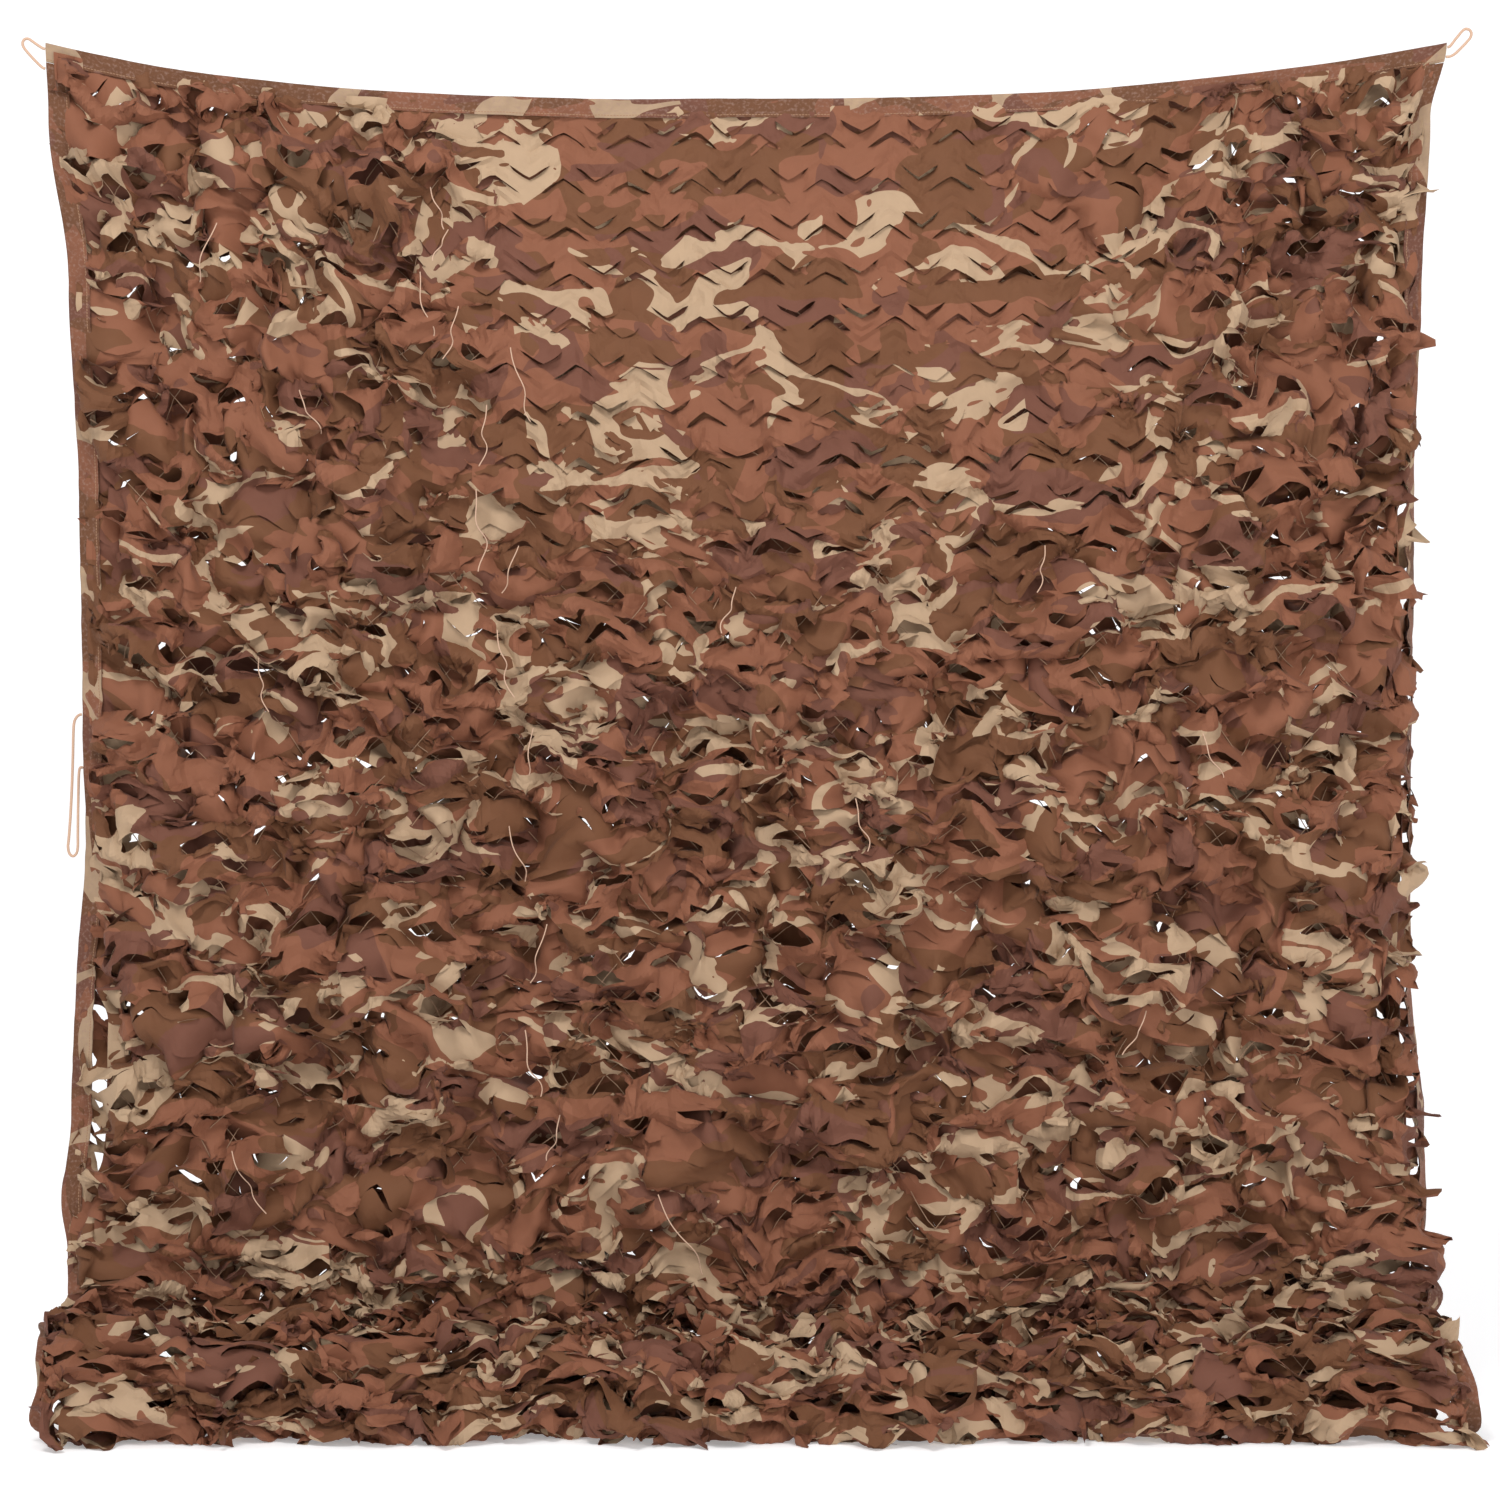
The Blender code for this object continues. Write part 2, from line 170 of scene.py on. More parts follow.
def through(rows, place):
    """Catmull-Rom curve through rows of numbers, at places counted in rows."""
    last = len(rows) - 1
    index = np.clip(np.floor(place).astype(int), 0, last - 1)
    t = (place - index)[..., None]
    a, b, c, d = (rows[np.clip(index + k, 0, last)] for k in (-1, 0, 1, 2))
    return 0.5 * (2 * b + (c - a) * t + (2 * a - 5 * b + 4 * c - d) * t * t
                  + (3 * b - a - 3 * c + d) * t ** 3)


def places_along(rows, steps):
    """Places from end to end of a curve through rows, so many to a row."""
    return np.linspace(0, len(rows) - 1, (len(rows) - 1) * steps + 1)


def step_lengths(points):
    """Lengths of the straight steps of a path."""
    return np.linalg.norm(np.diff(points, axis=0), axis=1)


def running_sum(steps):
    """What is reached after each step, from 0."""
    return np.concatenate(([0.0], np.cumsum(steps)))


HEAP_PLACES = places_along(HEAP_ROWS, steps=24)
HEAP_LENGTHS = running_sum(step_lengths(through(HEAP_ROWS, HEAP_PLACES)))


def edges_at(down):
    """Both edges' x and turn at distances down the cloth."""
    row = np.clip(np.searchsorted(EDGE_ROWS[:, 0], down) - 1, 0, len(EDGE_ROWS) - 2)
    start, end = EDGE_ROWS[row], EDGE_ROWS[row + 1]
    share = smooth((down - start[..., 0]) / (end[..., 0] - start[..., 0]))[..., None]
    return np.moveaxis(start[..., 1:] + (end[..., 1:] - start[..., 1:]) * share, -1, 0)


def waves(rows, across, down):
    """Sum of the billows in a table."""
    return sum(depth * np.sin(2 * math.pi * across / wave + phase + lean * down)
               for depth, wave, phase, lean in rows)


def hang_relief(across, down):
    """How far the hanging cloth stands forward of its plane."""
    relief = waves(BILLOW_ROWS, across, down)
    relief = relief * (BILLOW_AT_TOP + (1 - BILLOW_AT_TOP) * smooth(down / BILLOW_FULL))
    for fold_down, out, half, climb, middle, reach in FOLD_ROWS:
        off = (down - fold_down + climb * across) / half
        side = (across - middle) / reach
        relief = relief + out * np.exp(-off * off - side ** 4)
    return relief


def sheet_point(across, down):
    """Distance forward and height of the cloth before its side strips turn."""
    in_heap = ramp(down - HANG_LENGTH, HEAP_SWELLS)
    heap = through(HEAP_ROWS, np.interp(down - HANG_LENGTH, HEAP_LENGTHS, HEAP_PLACES))
    hangs = down < HANG_LENGTH
    out = np.where(hangs, 0.0, heap[..., 0])
    up = np.where(hangs, FLOOR_DROP - down * (1 - CRUMPLE), heap[..., 1])
    swell = 1 + in_heap * waves(HEAP_SWELL_ROWS, across, 0)
    lumps = LUMP_SHARE * in_heap * waves(HEAP_SWELL_ROWS, across + LUMP_SHIFT, 0)
    up = up * (1 + lumps * smooth(up / LUMP_HEIGHT))
    side = across / HALF_WIDTH
    power = np.where(side < 0, SAG_POWER_LEFT, SAG_POWER_RIGHT)
    rise = CORNER_RISE * np.abs(side) ** power * (1 - smooth(down / SAG_DEPTH))
    return out * swell + (1 - in_heap) * hang_relief(across, down), up - FLOOR_DROP + rise


def drape(across, down):
    """Points of the flat net, across and down, where they come to lie."""
    across, down = np.broadcast_arrays(np.asarray(across, float), np.asarray(down, float))
    left, right, left_turn, right_turn = edges_at(down)
    left_turn, right_turn = np.radians(left_turn), np.radians(right_turn)
    left_hinge = left + CURL_WIDTH * np.cos(left_turn)
    right_hinge = right - CURL_WIDTH * np.cos(right_turn)
    inner = HALF_WIDTH - CURL_WIDTH
    held = np.clip(across, -inner, inner)
    forward = sheet_point(held, down)[0]
    z = sheet_point(across, down)[1]
    beyond = across - held
    turn = np.where(beyond > 0, right_turn, left_turn)
    x = left_hinge + (right_hinge - left_hinge) * (held + inner) / (2 * inner)
    x = x + beyond * np.cos(turn)
    forward = forward - np.abs(beyond) * np.sin(turn)
    return np.stack((x, -forward, z), -1)


# ---------------- noises
def value_noise(a, b, wave, seed):
    """Smooth noise from -1 to 1 over a plane."""
    size = 64
    grid = np.random.default_rng(seed).uniform(-1, 1, (size, size))
    x, y = a / wave, b / wave
    i, j = np.floor(x).astype(int), np.floor(y).astype(int)
    fx, fy = smooth(x - i), smooth(y - j)
    near = grid[i % size, j % size] * (1 - fx) + grid[(i + 1) % size, j % size] * fx
    far = grid[i % size, (j + 1) % size] * (1 - fx) + grid[(i + 1) % size, (j + 1) % size] * fx
    return near * (1 - fy) + far * fy


def facets(a, b, wave, seed):
    """Noise from -1 to 1 that is made of flat triangles, as stiff cloth folds."""
    size = 96
    warp, warp_wave = 0.4, 2.3 * wave       # in cells, so that their rows don't run straight
    grid = np.random.default_rng(seed).uniform(-1, 1, (size, size))
    x = a / wave + warp * value_noise(a, b, warp_wave, seed + 100)
    y = b / wave + warp * value_noise(a, b, warp_wave, seed + 200)
    turn = 0.7 * seed                       # each seed's rows run their own way
    x, y = x * math.cos(turn) - y * math.sin(turn), x * math.sin(turn) + y * math.cos(turn)
    skew = 0.366 * (x + y)                  # makes the half squares equal-sided
    x, y = x + skew, y + skew
    i, j = np.floor(x).astype(int), np.floor(y).astype(int)
    fx, fy = x - i, y - j
    near, far = grid[i % size, j % size], grid[(i + 1) % size, (j + 1) % size]
    third = np.where(fx > fy, grid[(i + 1) % size, j % size], grid[i % size, (j + 1) % size])
    large, small = np.maximum(fx, fy), np.minimum(fx, fy)
    return near + (third - near) * large + (far - third) * small


def noise_sum(across, down, rows):
    """Sum of noises over the cloth, each given as its kind, size, wave and seed."""
    return sum(size * noise(across, down, wave, seed) for noise, size, wave, seed in rows)


# ---------------- how the cloth is gathered
PERIODS = 23  # cuts across the cloth
PITCH = 0.0941  # across the cloth, from one cut to the next of its kind
CLOTH_EDGE = 0.012  # the cloth ends this far inside the tape
CLOTH_HALF = PERIODS * PITCH / 2
FORM_HALF = HALF_WIDTH - CLOTH_EDGE

CLOTH_LENGTH = 3.44  # of cloth between the outer edges of the tapes, which gather it
CLOTH_HANG = 1.90  # of it that hangs
HEAP_CLOTH = 0.72  # of it that lies over the front of the heap
HEAP_FORM = 0.47  # length of the heap's front
SHOWN_CLOTH = 2.72  # length of cloth that shows; the rest lies inside the heap
SHOWN_PIECES = 5
INNER_CLOTH = 2.42  # length of the second ply

FLAT_RATE = 1.03  # near the top the rows hang at nearly their full pitch
ROWS_CROWD = 0.42, 0.40  # span down the cloth over which they come to crowd
FLAT_LEFT = -0.40  # cloth between these, high up, keeps its full width
FLAT_RIGHT = 0.66
FLAT_SIDE = 0.10
EVEN_OUT = 0.50, 0.70  # span down over which it comes to crowd evenly across
GATHER_POINTS = 400

# spans at the left, the right (from the right, so minus) and the foot of the calm upper middle
CALM_FROM, CALM_TO, CALM_DOWN = (-0.47, 0.14), (-0.72, 0.16), (0.32, 0.85)
CALM = 0.87  # share of the crumple that it lacks


def gathered(grid, flat_part, flat_rate, total):
    """Distance reached on the form along a grid on the cloth.

    It goes at the flat rate in the flat part, and in the rest as it has to, to reach the total.
    """
    rest = (total - flat_rate * np.trapz(flat_part, grid)) / np.trapz(1 - flat_part, grid)
    rate = flat_rate * flat_part + rest * (1 - flat_part)
    return running_sum((rate[1:] + rate[:-1]) / 2 * np.diff(grid))


def settle(down):
    """Cloth distance to distance down the draped form: the rows crowd lower in the hang."""
    grid = np.linspace(0, CLOTH_HANG, GATHER_POINTS)
    flat_part = 1 - ramp(grid, ROWS_CROWD)
    reached = gathered(grid, flat_part, FLAT_RATE, HANG_LENGTH)
    return np.where(down < CLOTH_HANG, np.interp(down, grid, reached),
                    np.interp(down, (CLOTH_HANG, CLOTH_HANG + HEAP_CLOTH, CLOTH_LENGTH),
                              (HANG_LENGTH, HANG_LENGTH + HEAP_FORM, NET_LENGTH)))


def spread(across, down):
    """Cloth distance to distance across the draped form: high up the sides crowd more."""
    grid = np.linspace(-CLOTH_HALF, CLOTH_HALF, GATHER_POINTS)
    flat_part = (smooth((grid - FLAT_LEFT + FLAT_SIDE) / (2 * FLAT_SIDE))
                 * smooth((FLAT_RIGHT + FLAT_SIDE - grid) / (2 * FLAT_SIDE)))
    placed = np.interp(across, grid, gathered(grid, flat_part, 1.0, 2 * FORM_HALF) - FORM_HALF)
    even = across * FORM_HALF / CLOTH_HALF
    return even + (placed - even) * (1 - ramp(down, EVEN_OUT))


def crumpled(across, down):
    """How leafy the cloth is: little in the smooth upper middle, fully elsewhere."""
    column = ramp(across, CALM_FROM) * ramp(-across, CALM_TO)
    return 1 - CALM * column * (1 - ramp(down, CALM_DOWN))


# ---------------- the cut cloth, flat
ROW_PITCH = 0.0740  # down the cloth, from one row of cuts to the next of its kind
COLUMN_SHARES = np.array((0.0, 0.078, 0.199, 0.274, 0.344, 0.422, 0.5))
UP_CUT_END = 4  # column where a cut that points up ends
DOWN_CUT_END = 2  # column where a cut that points down ends
ZIG_SLOPE = 0.45  # drop of the zigzag rows for each metre across
ZIG_ROUND = 0.013  # roundness of their corners
FIRST_ROW = 0.055
CUT_ROWS = 45  # of each kind
BAND_ROWS = 4  # rows of the grid from one row of cuts to the next of any kind
PERIOD_ROWS = 2 * BAND_ROWS
HALF_PITCH = PITCH / 2


def zigzag(local):
    """How far a zigzag row lies below its peaks."""
    off = np.abs((local + HALF_PITCH) % PITCH - HALF_PITCH)

    def rounded(t):
        return np.sqrt(t * t + ZIG_ROUND ** 2) - np.sqrt((HALF_PITCH - t) ** 2 + ZIG_ROUND ** 2)

    return ZIG_SLOPE * (rounded(off) - rounded(0.0))


def cut_sheet():
    """The flat cloth as a grid of zigzag rows, doubled along the cuts."""
    shares = np.concatenate((COLUMN_SHARES, 1 - COLUMN_SHARES[-2:0:-1]))
    local = np.concatenate([(k + shares) * PITCH for k in range(PERIODS)] + [[PERIODS * PITCH]])
    zig = zigzag(local)
    drop = float(zigzag(np.array(HALF_PITCH)))
    end = np.full_like(local, CLOTH_LENGTH - CLOTH_EDGE)
    lines = []

    def band(first, following):
        lines.extend(first + (following - first) * k / BAND_ROWS for k in range(BAND_ROWS))

    band(CLOTH_EDGE, FIRST_ROW - drop + zig)
    for cut in range(CUT_ROWS):
        peak = FIRST_ROW + cut * ROW_PITCH
        band(peak - drop + zig, peak + zig)
        band(peak + zig, peak + ROW_PITCH - drop + zig if cut < CUT_ROWS - 1 else end)
    down = np.array(lines + [end])

    row = np.arange(len(down))[:, None]
    across = np.broadcast_to(local - CLOTH_HALF, down.shape)
    off = np.abs((local + HALF_PITCH) % PITCH - HALF_PITCH) / PITCH
    slight = 1e-4
    points_up = (row % PERIOD_ROWS == 0) & (row > 0)
    points_down = (row % PERIOD_ROWS == BAND_ROWS) & (row < len(down) - 1)
    opened = ((points_up & (off < COLUMN_SHARES[UP_CUT_END] - slight))
              | (points_down & (off > COLUMN_SHARES[DOWN_CUT_END] + slight)))
    above = np.arange(down.size).reshape(down.shape)
    below = above.copy()
    below[opened] = down.size + np.arange(opened.sum())
    flat = np.stack((across, down), -1)
    return {
        "above": above,     # vertex that the quads over a row use
        "below": below,     # vertex that the quads under it use
        "opened": opened,   # where these are two, along a cut
        "off": off,         # of each column from the nearest peak, in pitches
        "flat": np.concatenate((flat.reshape(-1, 2), flat[opened])),
    }


# ---------------- relaxing the cloth
STRETCH, SHEAR, BEND = 1.0, 0.4, 0.02  # stiffness along cells, across them and over two
RELAX_STEPS = 18
RELAX_PASSES = 2
DAMPING = 0.90
RELAX_FLOOR = 0.0008 - FLOOR_DROP


def links(sheet):
    """Batches of links in which no vertex occurs twice: both ends, length, stiffness, push."""
    above, below, opened, flat = (sheet[k] for k in ("above", "below", "opened", "flat"))
    rows, columns = above.shape
    batches = []

    def add(i, j, stiffness, push=False):
        lengths = np.linalg.norm(flat[i] - flat[j], axis=-1)
        batches.append((i.ravel(), j.ravel(), lengths.ravel(), stiffness, push))

    for parity in (0, 1):
        starts = np.arange(parity, columns - 1, 2)
        add(above[:, starts], above[:, starts + 1], STRETCH)
        doubled = opened[:, starts] | opened[:, starts + 1]
        add(below[:, starts][doubled], below[:, starts + 1][doubled], STRETCH)
        starts = np.arange(parity, rows - 1, 2)
        add(below[starts], above[starts + 1], STRETCH)
        add(below[starts, :-1], above[starts + 1, 1:], SHEAR)
        add(below[starts, 1:], above[starts + 1, :-1], SHEAR)
    for phase in (0, 2):
        starts = np.array([r for r in range(rows - 2) if r % 4 in (phase, phase + 1)])
        whole = ~opened[starts + 1]
        add(below[starts][whole], above[starts + 2][whole], BEND, True)
        starts = np.array([c for c in range(columns - 2) if c % 4 in (phase, phase + 1)])
        add(above[:, starts], above[:, starts + 2], BEND, True)
        doubled = opened[:, starts + 1]
        add(below[:, starts][doubled], below[:, starts + 2][doubled], BEND, True)
    return batches


def relax(points, batches, tether, pinned):
    """Position-based relaxing of the cloth, tied loosely to a form and pinned at its edges."""
    tied, tied_to, pull = tether
    held, held_to = pinned
    before = points.copy()
    for _ in range(RELAX_STEPS):
        moved = (points - before) * DAMPING
        before = points.copy()
        points = points + moved
        for _ in range(RELAX_PASSES):
            for i, j, length, stiffness, push in batches:
                apart = points[j] - points[i]
                size = np.sqrt((apart * apart).sum(1)) + 1e-9
                change = (size - length) / size * (0.5 * stiffness)
                if push:
                    change = np.minimum(change, 0)
                apart *= change[:, None]
                points[i] += apart
                points[j] -= apart
            points[tied] += (tied_to - points[tied]) * pull[:, None]
            points[held] = held_to
            np.maximum(points[:, 2], RELAX_FLOOR, out=points[:, 2])
    return points


# ---------------- how the cuts open
# spans, in pitches off a peak, where cloth comes to lean about cuts that point up (from the far
# side, so minus) and about cuts that point down
LEAN_UP, LEAN_DOWN = (-0.36, 0.16), (0.18, 0.16)

# radians that tongues turn out about their roots, each a first value and what chance adds to it:
# the share of the first few, their turn, that of most, where the last few begin, theirs, and
# that of all in calm cloth
HANGING_TURNS = 0.30, (-0.25, -0.60), (0.20, 0.75), 0.92, (1.30, 1.00), (0.02, 0.26)
STANDING_TURNS = 0.50, (-0.35, -0.90), (0.80, 1.70), 0.85, (-0.10, -0.15), (-0.02, -0.32)
TWIST = 1.15  # radians about their length
SWING = 0.60  # sideways, as a share of their length
TWIST_FULL = 0.4  # share of their length over which the twist comes in


def louvres(sheet):
    """How each vertex leans: 1 above a cut, where the cloth hangs forward, -1 below one."""
    row = np.arange(len(sheet["above"]))[:, None]
    parts = ((ramp(-sheet["off"], LEAN_UP), row % PERIOD_ROWS / PERIOD_ROWS),
             (ramp(sheet["off"], LEAN_DOWN), (row - BAND_ROWS) % PERIOD_ROWS / PERIOD_ROWS))

    def leaning(at_cut):
        return sum(weight * np.where(share == 0, at_cut, 2 * share - 1)
                   for weight, share in parts)

    opened = sheet["opened"]
    lean = np.zeros(len(sheet["flat"]))
    lean[sheet["above"]] = np.where(opened, leaning(1), leaning(0))
    lean[sheet["below"][opened]] = leaning(-1)[opened]
    return lean


def tongues(sheet):
    """First for tongues that hang, then for those that stand: which one each vertex is part of.

    That is its cut and column, the share of its length, the place aside, and the whole length.
    """
    over = np.zeros(len(sheet["flat"]), bool)
    over[sheet["above"]] = True
    line = np.zeros(len(sheet["flat"]), int)
    line[sheet["above"]] = line[sheet["below"]] = np.arange(len(sheet["above"]))[:, None]
    across, down = sheet["flat"].T
    local = across + CLOTH_HALF
    for hangs in (True, False):
        half = PITCH * (0.5 - COLUMN_SHARES[DOWN_CUT_END] if hangs else COLUMN_SHARES[UP_CUT_END])
        middle = 0.5 if hangs else 0.0
        column = np.round(local / PITCH - middle).astype(int)
        side = local - (column + middle) * PITCH
        if hangs:
            length = float(zigzag(np.array(HALF_PITCH)) - zigzag(np.array(HALF_PITCH - half)))
            cut = -((-(line - BAND_ROWS)) // PERIOD_ROWS)
            cut = cut + (~over & ((line - BAND_ROWS) % PERIOD_ROWS == 0))
            reach = FIRST_ROW + cut * ROW_PITCH - down
        else:
            length = float(zigzag(np.array(half)))
            cut = (line - PERIOD_ROWS) // PERIOD_ROWS - (over & (line % PERIOD_ROWS == 0))
            reach = down - FIRST_ROW - cut * ROW_PITCH
        share = np.where((np.abs(side) < half) & (cut >= 0) & (cut < CUT_ROWS),
                         np.clip(1 - reach / length, 0, 1), 0)
        yield hangs, cut, column, share, side, length


def turned(sheet, leafy):
    """Shift of each vertex across, out and down as the tongues turn about their roots."""
    shift = np.zeros((len(sheet["flat"]), 3))
    rng = np.random.default_rng(8)
    for hangs, cut, column, share, side, length in tongues(sheet):
        shape = (CUT_ROWS + 3, PERIODS + 3)
        kind, amount = rng.random(shape), rng.random(shape)
        twist, swing = rng.normal(0, 1, shape), rng.normal(0, 1, shape)
        which = (np.clip(cut, -1, CUT_ROWS) + 1, np.clip(column, -1, PERIODS) + 1)
        kind, amount, twist, swing = kind[which], amount[which], twist[which], swing[which]
        low, few, most, high, rest, calm = HANGING_TURNS if hangs else STANDING_TURNS
        loose = np.where(kind < low, few[0] + few[1] * amount, most[0] + most[1] * amount)
        loose = np.where(kind > high, rest[0] + rest[1] * amount, loose)
        angle = calm[0] + calm[1] * amount ** 2
        angle = angle + (loose - angle) * leafy
        reach = length * share
        shift[:, 1] += reach * np.sin(angle)
        drawn = reach * (1 - np.cos(angle))
        shift[:, 2] += -drawn if hangs else drawn
        turn = TWIST * leafy * twist * smooth(share / TWIST_FULL)
        shift[:, 0] += reach * SWING * leafy * swing - side * (1 - np.cos(turn))
        shift[:, 1] += side * np.sin(turn)
    return shift


# ---------------- the form under the cloth
HEAP_BEGINS = -0.04, 0.12  # span past the end of the hang
HEAP_DEEP, HEAP_TALL = 0.86, 0.90  # the cloth's heap beside the solids', before it crumples
FRAME_STEP = 0.004
# beyond these distances forward and back, the cloth is pressed together into the give
FRONT_LIMIT, FRONT_GIVE = 0.248, 0.022
BACK_LIMIT, BACK_GIVE = 0.060, 0.030
LOWEST = 0.0006 - FLOOR_DROP
GAPS_LEFT, GAPS_RIGHT = 1.42, 0.62  # down the form, from where gaps show beside the tapes
GAPS_FADE = 0.10
GAPS_END = 0.04  # before the heap


def heaped(down):
    """How far into the heap a distance down the form is."""
    return ramp(down - HANG_LENGTH, HEAP_BEGINS)


def shown_drape(across, down):
    """The draped form, its heap pressed in a little to leave room for the crumpled cloth."""
    points = drape(across, down)
    share = heaped(np.broadcast_to(down, points.shape[:-1]))
    points[..., 1] *= 1 - (1 - HEAP_DEEP) * share
    points[..., 2] = (points[..., 2] + FLOOR_DROP) * (1 - (1 - HEAP_TALL) * share) - FLOOR_DROP
    return points


def form_frame(across, down):
    """Points of the draped form, with its across, outward and down directions."""
    along = shown_drape(across, down + FRAME_STEP) - shown_drape(across, down - FRAME_STEP)
    side = shown_drape(across + FRAME_STEP, down) - shown_drape(across - FRAME_STEP, down)
    along /= np.linalg.norm(along, axis=-1, keepdims=True)
    side /= np.linalg.norm(side, axis=-1, keepdims=True)
    out = np.cross(along, side)
    out /= np.linalg.norm(out, axis=-1, keepdims=True)
    return shown_drape(across, down), np.stack((side, out, along), -2)


def kept_in(points):
    """Holds points between the front of the heap's room and the wall side, and off the floor."""
    beyond = np.maximum(-FRONT_LIMIT - points[:, 1], 0)
    points[:, 1] += beyond - FRONT_GIVE * np.tanh(beyond / FRONT_GIVE)
    beyond = np.maximum(points[:, 1] - BACK_LIMIT, 0)
    points[:, 1] -= beyond - BACK_GIVE * np.tanh(beyond / BACK_GIVE)
    points[:, 2] = np.maximum(points[:, 2], LOWEST)
    return points


def drawn_in(across, down):
    """Where the cloth stands off from the side tapes, so that gaps show beside them."""
    begins = np.where(across < 0, GAPS_LEFT, GAPS_RIGHT)
    return smooth((down - begins) / GAPS_FADE) * (1 - heaped(down + GAPS_END))


# ---------------- the crumpled cloth
# noises of the crumple across, out and down
CRUMPLE_NOISES = (
    ((value_noise, 0.012, 0.075, 11), (facets, 0.024, 0.055, 31)),
    ((facets, 0.044, 0.062, 12), (facets, 0.022, 0.034, 15)),
    ((value_noise, 0.010, 0.110, 13), (facets, 0.024, 0.060, 37)),
)
HEAP_PRESSED = 0.35  # share of the outward crumple that the heap lacks
LOUVRE = 0.006  # how far cloth leans out over a cut, and in under it
LOUVRE_VARIES = 0.9
CALM_LEFT_OPEN = 0.3  # share of the lean and of the gape out that calm cloth keeps
FOLD_WANDER = 0.055  # how far up and down the soft folds wander from the solids'
OVER_TAPE = 0.026  # how far the heap's leaves hang out over the side tapes
OVER_FROM, OVER_TO = (0.85, 0.08), (-0.975, 0.02)  # spans, from the middle and the edge
OVER_OUT = 0.5  # how far forward they stand, for each metre sideways
OVER_VARIES = 0.8
START_FLOOR = 0.001 - FLOOR_DROP
START_JITTER = 0.001
PIN_UNDER = 0.004  # cloth is pinned from this far under the tapes' inner edges
PULL, RIB_PULL = 0.09, 0.15  # towards the crumpled form, of cloth and of the uncut ribs
RIB_OFF, RIB_HALF = 0.27, 0.09  # off a peak and half their width, in pitches
GAPE_OUT, GAPE_DOWN = 0.0024, 0.0032  # how far the cloth under a cut moves away
GAPE_UP = 0.3  # share of it that the cloth over the cut moves up
EDGE_OPEN, EDGE_OPEN_UP = 0.010, 0.4  # the same, to be added beside the tapes
EDGE_OPEN_FROM = 0.940, 0.01  # span, from the middle
INSIDE, BELOW_TOP = (-FORM_HALF, 0.02), (CLOTH_EDGE, 0.03)  # spans where cuts begin to open


def settled_cloth(sheet):
    """Where every vertex of the cut cloth rests, with its cuts open and with them closed."""
    across, down = sheet["flat"].T
    form_down = settle(down)
    laid = spread(across, down)
    form, axes = form_frame(laid, form_down)
    in_heap = heaped(form_down)
    leafy = crumpled(laid, down)
    shift = np.stack([noise_sum(across, down, rows) for rows in CRUMPLE_NOISES], -1)
    shift *= leafy[:, None]
    shift[:, 1] *= 1 - HEAP_PRESSED * in_heap
    kept = CALM_LEFT_OPEN + (1 - CALM_LEFT_OPEN) * leafy
    uneven = 1 + LOUVRE_VARIES * leafy * value_noise(across, down, wave=0.05, seed=17)
    shift[:, 1] += louvres(sheet) * LOUVRE * kept * uneven
    wander = form_down + FOLD_WANDER * value_noise(laid, form_down, wave=0.23, seed=29)
    shift[:, 1] += (1 - in_heap) * (hang_relief(laid, wander) - hang_relief(laid, form_down))
    aside = np.abs(laid)
    over = in_heap * ramp(aside, OVER_FROM) * ramp(-aside, OVER_TO)
    over *= 1 + OVER_VARIES * value_noise(across, down, wave=0.05, seed=23)
    shift[:, 0] += np.sign(laid) * OVER_TAPE * over
    shift[:, 1] += OVER_OUT * OVER_TAPE * over
    target = form + np.einsum("nk,nkc->nc", shift, axes)
    target[:, 2] = np.maximum(target[:, 2], START_FLOOR)
    start = target + np.random.default_rng(5).normal(0, START_JITTER, target.shape)

    pinned_width = TAPE_WIDTH - PIN_UNDER
    edge = ((aside > HALF_WIDTH - pinned_width) | (down < pinned_width)
            | (down > CLOTH_LENGTH - pinned_width))
    held = np.nonzero(edge)[0]
    pull = np.full(len(across), PULL)
    ribs = np.abs(sheet["off"] - RIB_OFF) < RIB_HALF
    pull[sheet["above"][:, ribs].ravel()] = RIB_PULL
    pull[edge] = 0
    tied = np.nonzero(pull > 0)[0]
    rested = relax(start, links(sheet), (tied, target[tied], pull[tied]), (held, form[held]))

    upper, lower = sheet["above"][sheet["opened"]], sheet["below"][sheet["opened"]]
    move = turned(sheet, leafy)
    move[upper, 1] += GAPE_OUT * kept[upper]
    move[lower, 1] -= GAPE_OUT * kept[lower]
    move[upper, 2] -= GAPE_UP * GAPE_DOWN
    move[lower, 2] += GAPE_DOWN
    beside = ramp(aside, EDGE_OPEN_FROM) * drawn_in(laid, form_down)
    beside *= np.clip(0.5 + 1.5 * value_noise(across, down, wave=0.09, seed=19), 0, 1)
    move[lower, 2] += EDGE_OPEN * beside[lower]
    move[upper, 2] -= EDGE_OPEN_UP * EDGE_OPEN * beside[upper]
    inside = ramp(-aside, INSIDE) * ramp(down, BELOW_TOP)
    move = np.einsum("nk,nkc->nc", move * inside[:, None], axes)
    return kept_in(rested + move), rested


PLY_STEP_ACROSS = 0.023  # how far the second ply lies out of step with the first
PLY_STEP_DOWN = 0.031
PLY_WANDER = 0.022  # and how much that varies
PLY_EDGE_GAP = 0.003  # how far behind it lies at the edges, and how much further inside
PLY_GAP = 0.006
PLY_LAP = 0.0038  # its cuts lap by this much each way, so that few show the wall
PLY_IN = 0.040  # share by which it draws in where gaps show beside the tapes
PLY_EDGE_CRUMPLE = 0.3  # share of the crumple that is left at the edges
# spans, in from the sides (so minus) and down, where it comes to be out of step and to stand off
PLY_STEPS = (-CLOTH_HALF, 0.10), (0.02, 0.10)
PLY_INNER = (-HALF_WIDTH, 0.08), (0.0, 0.12)


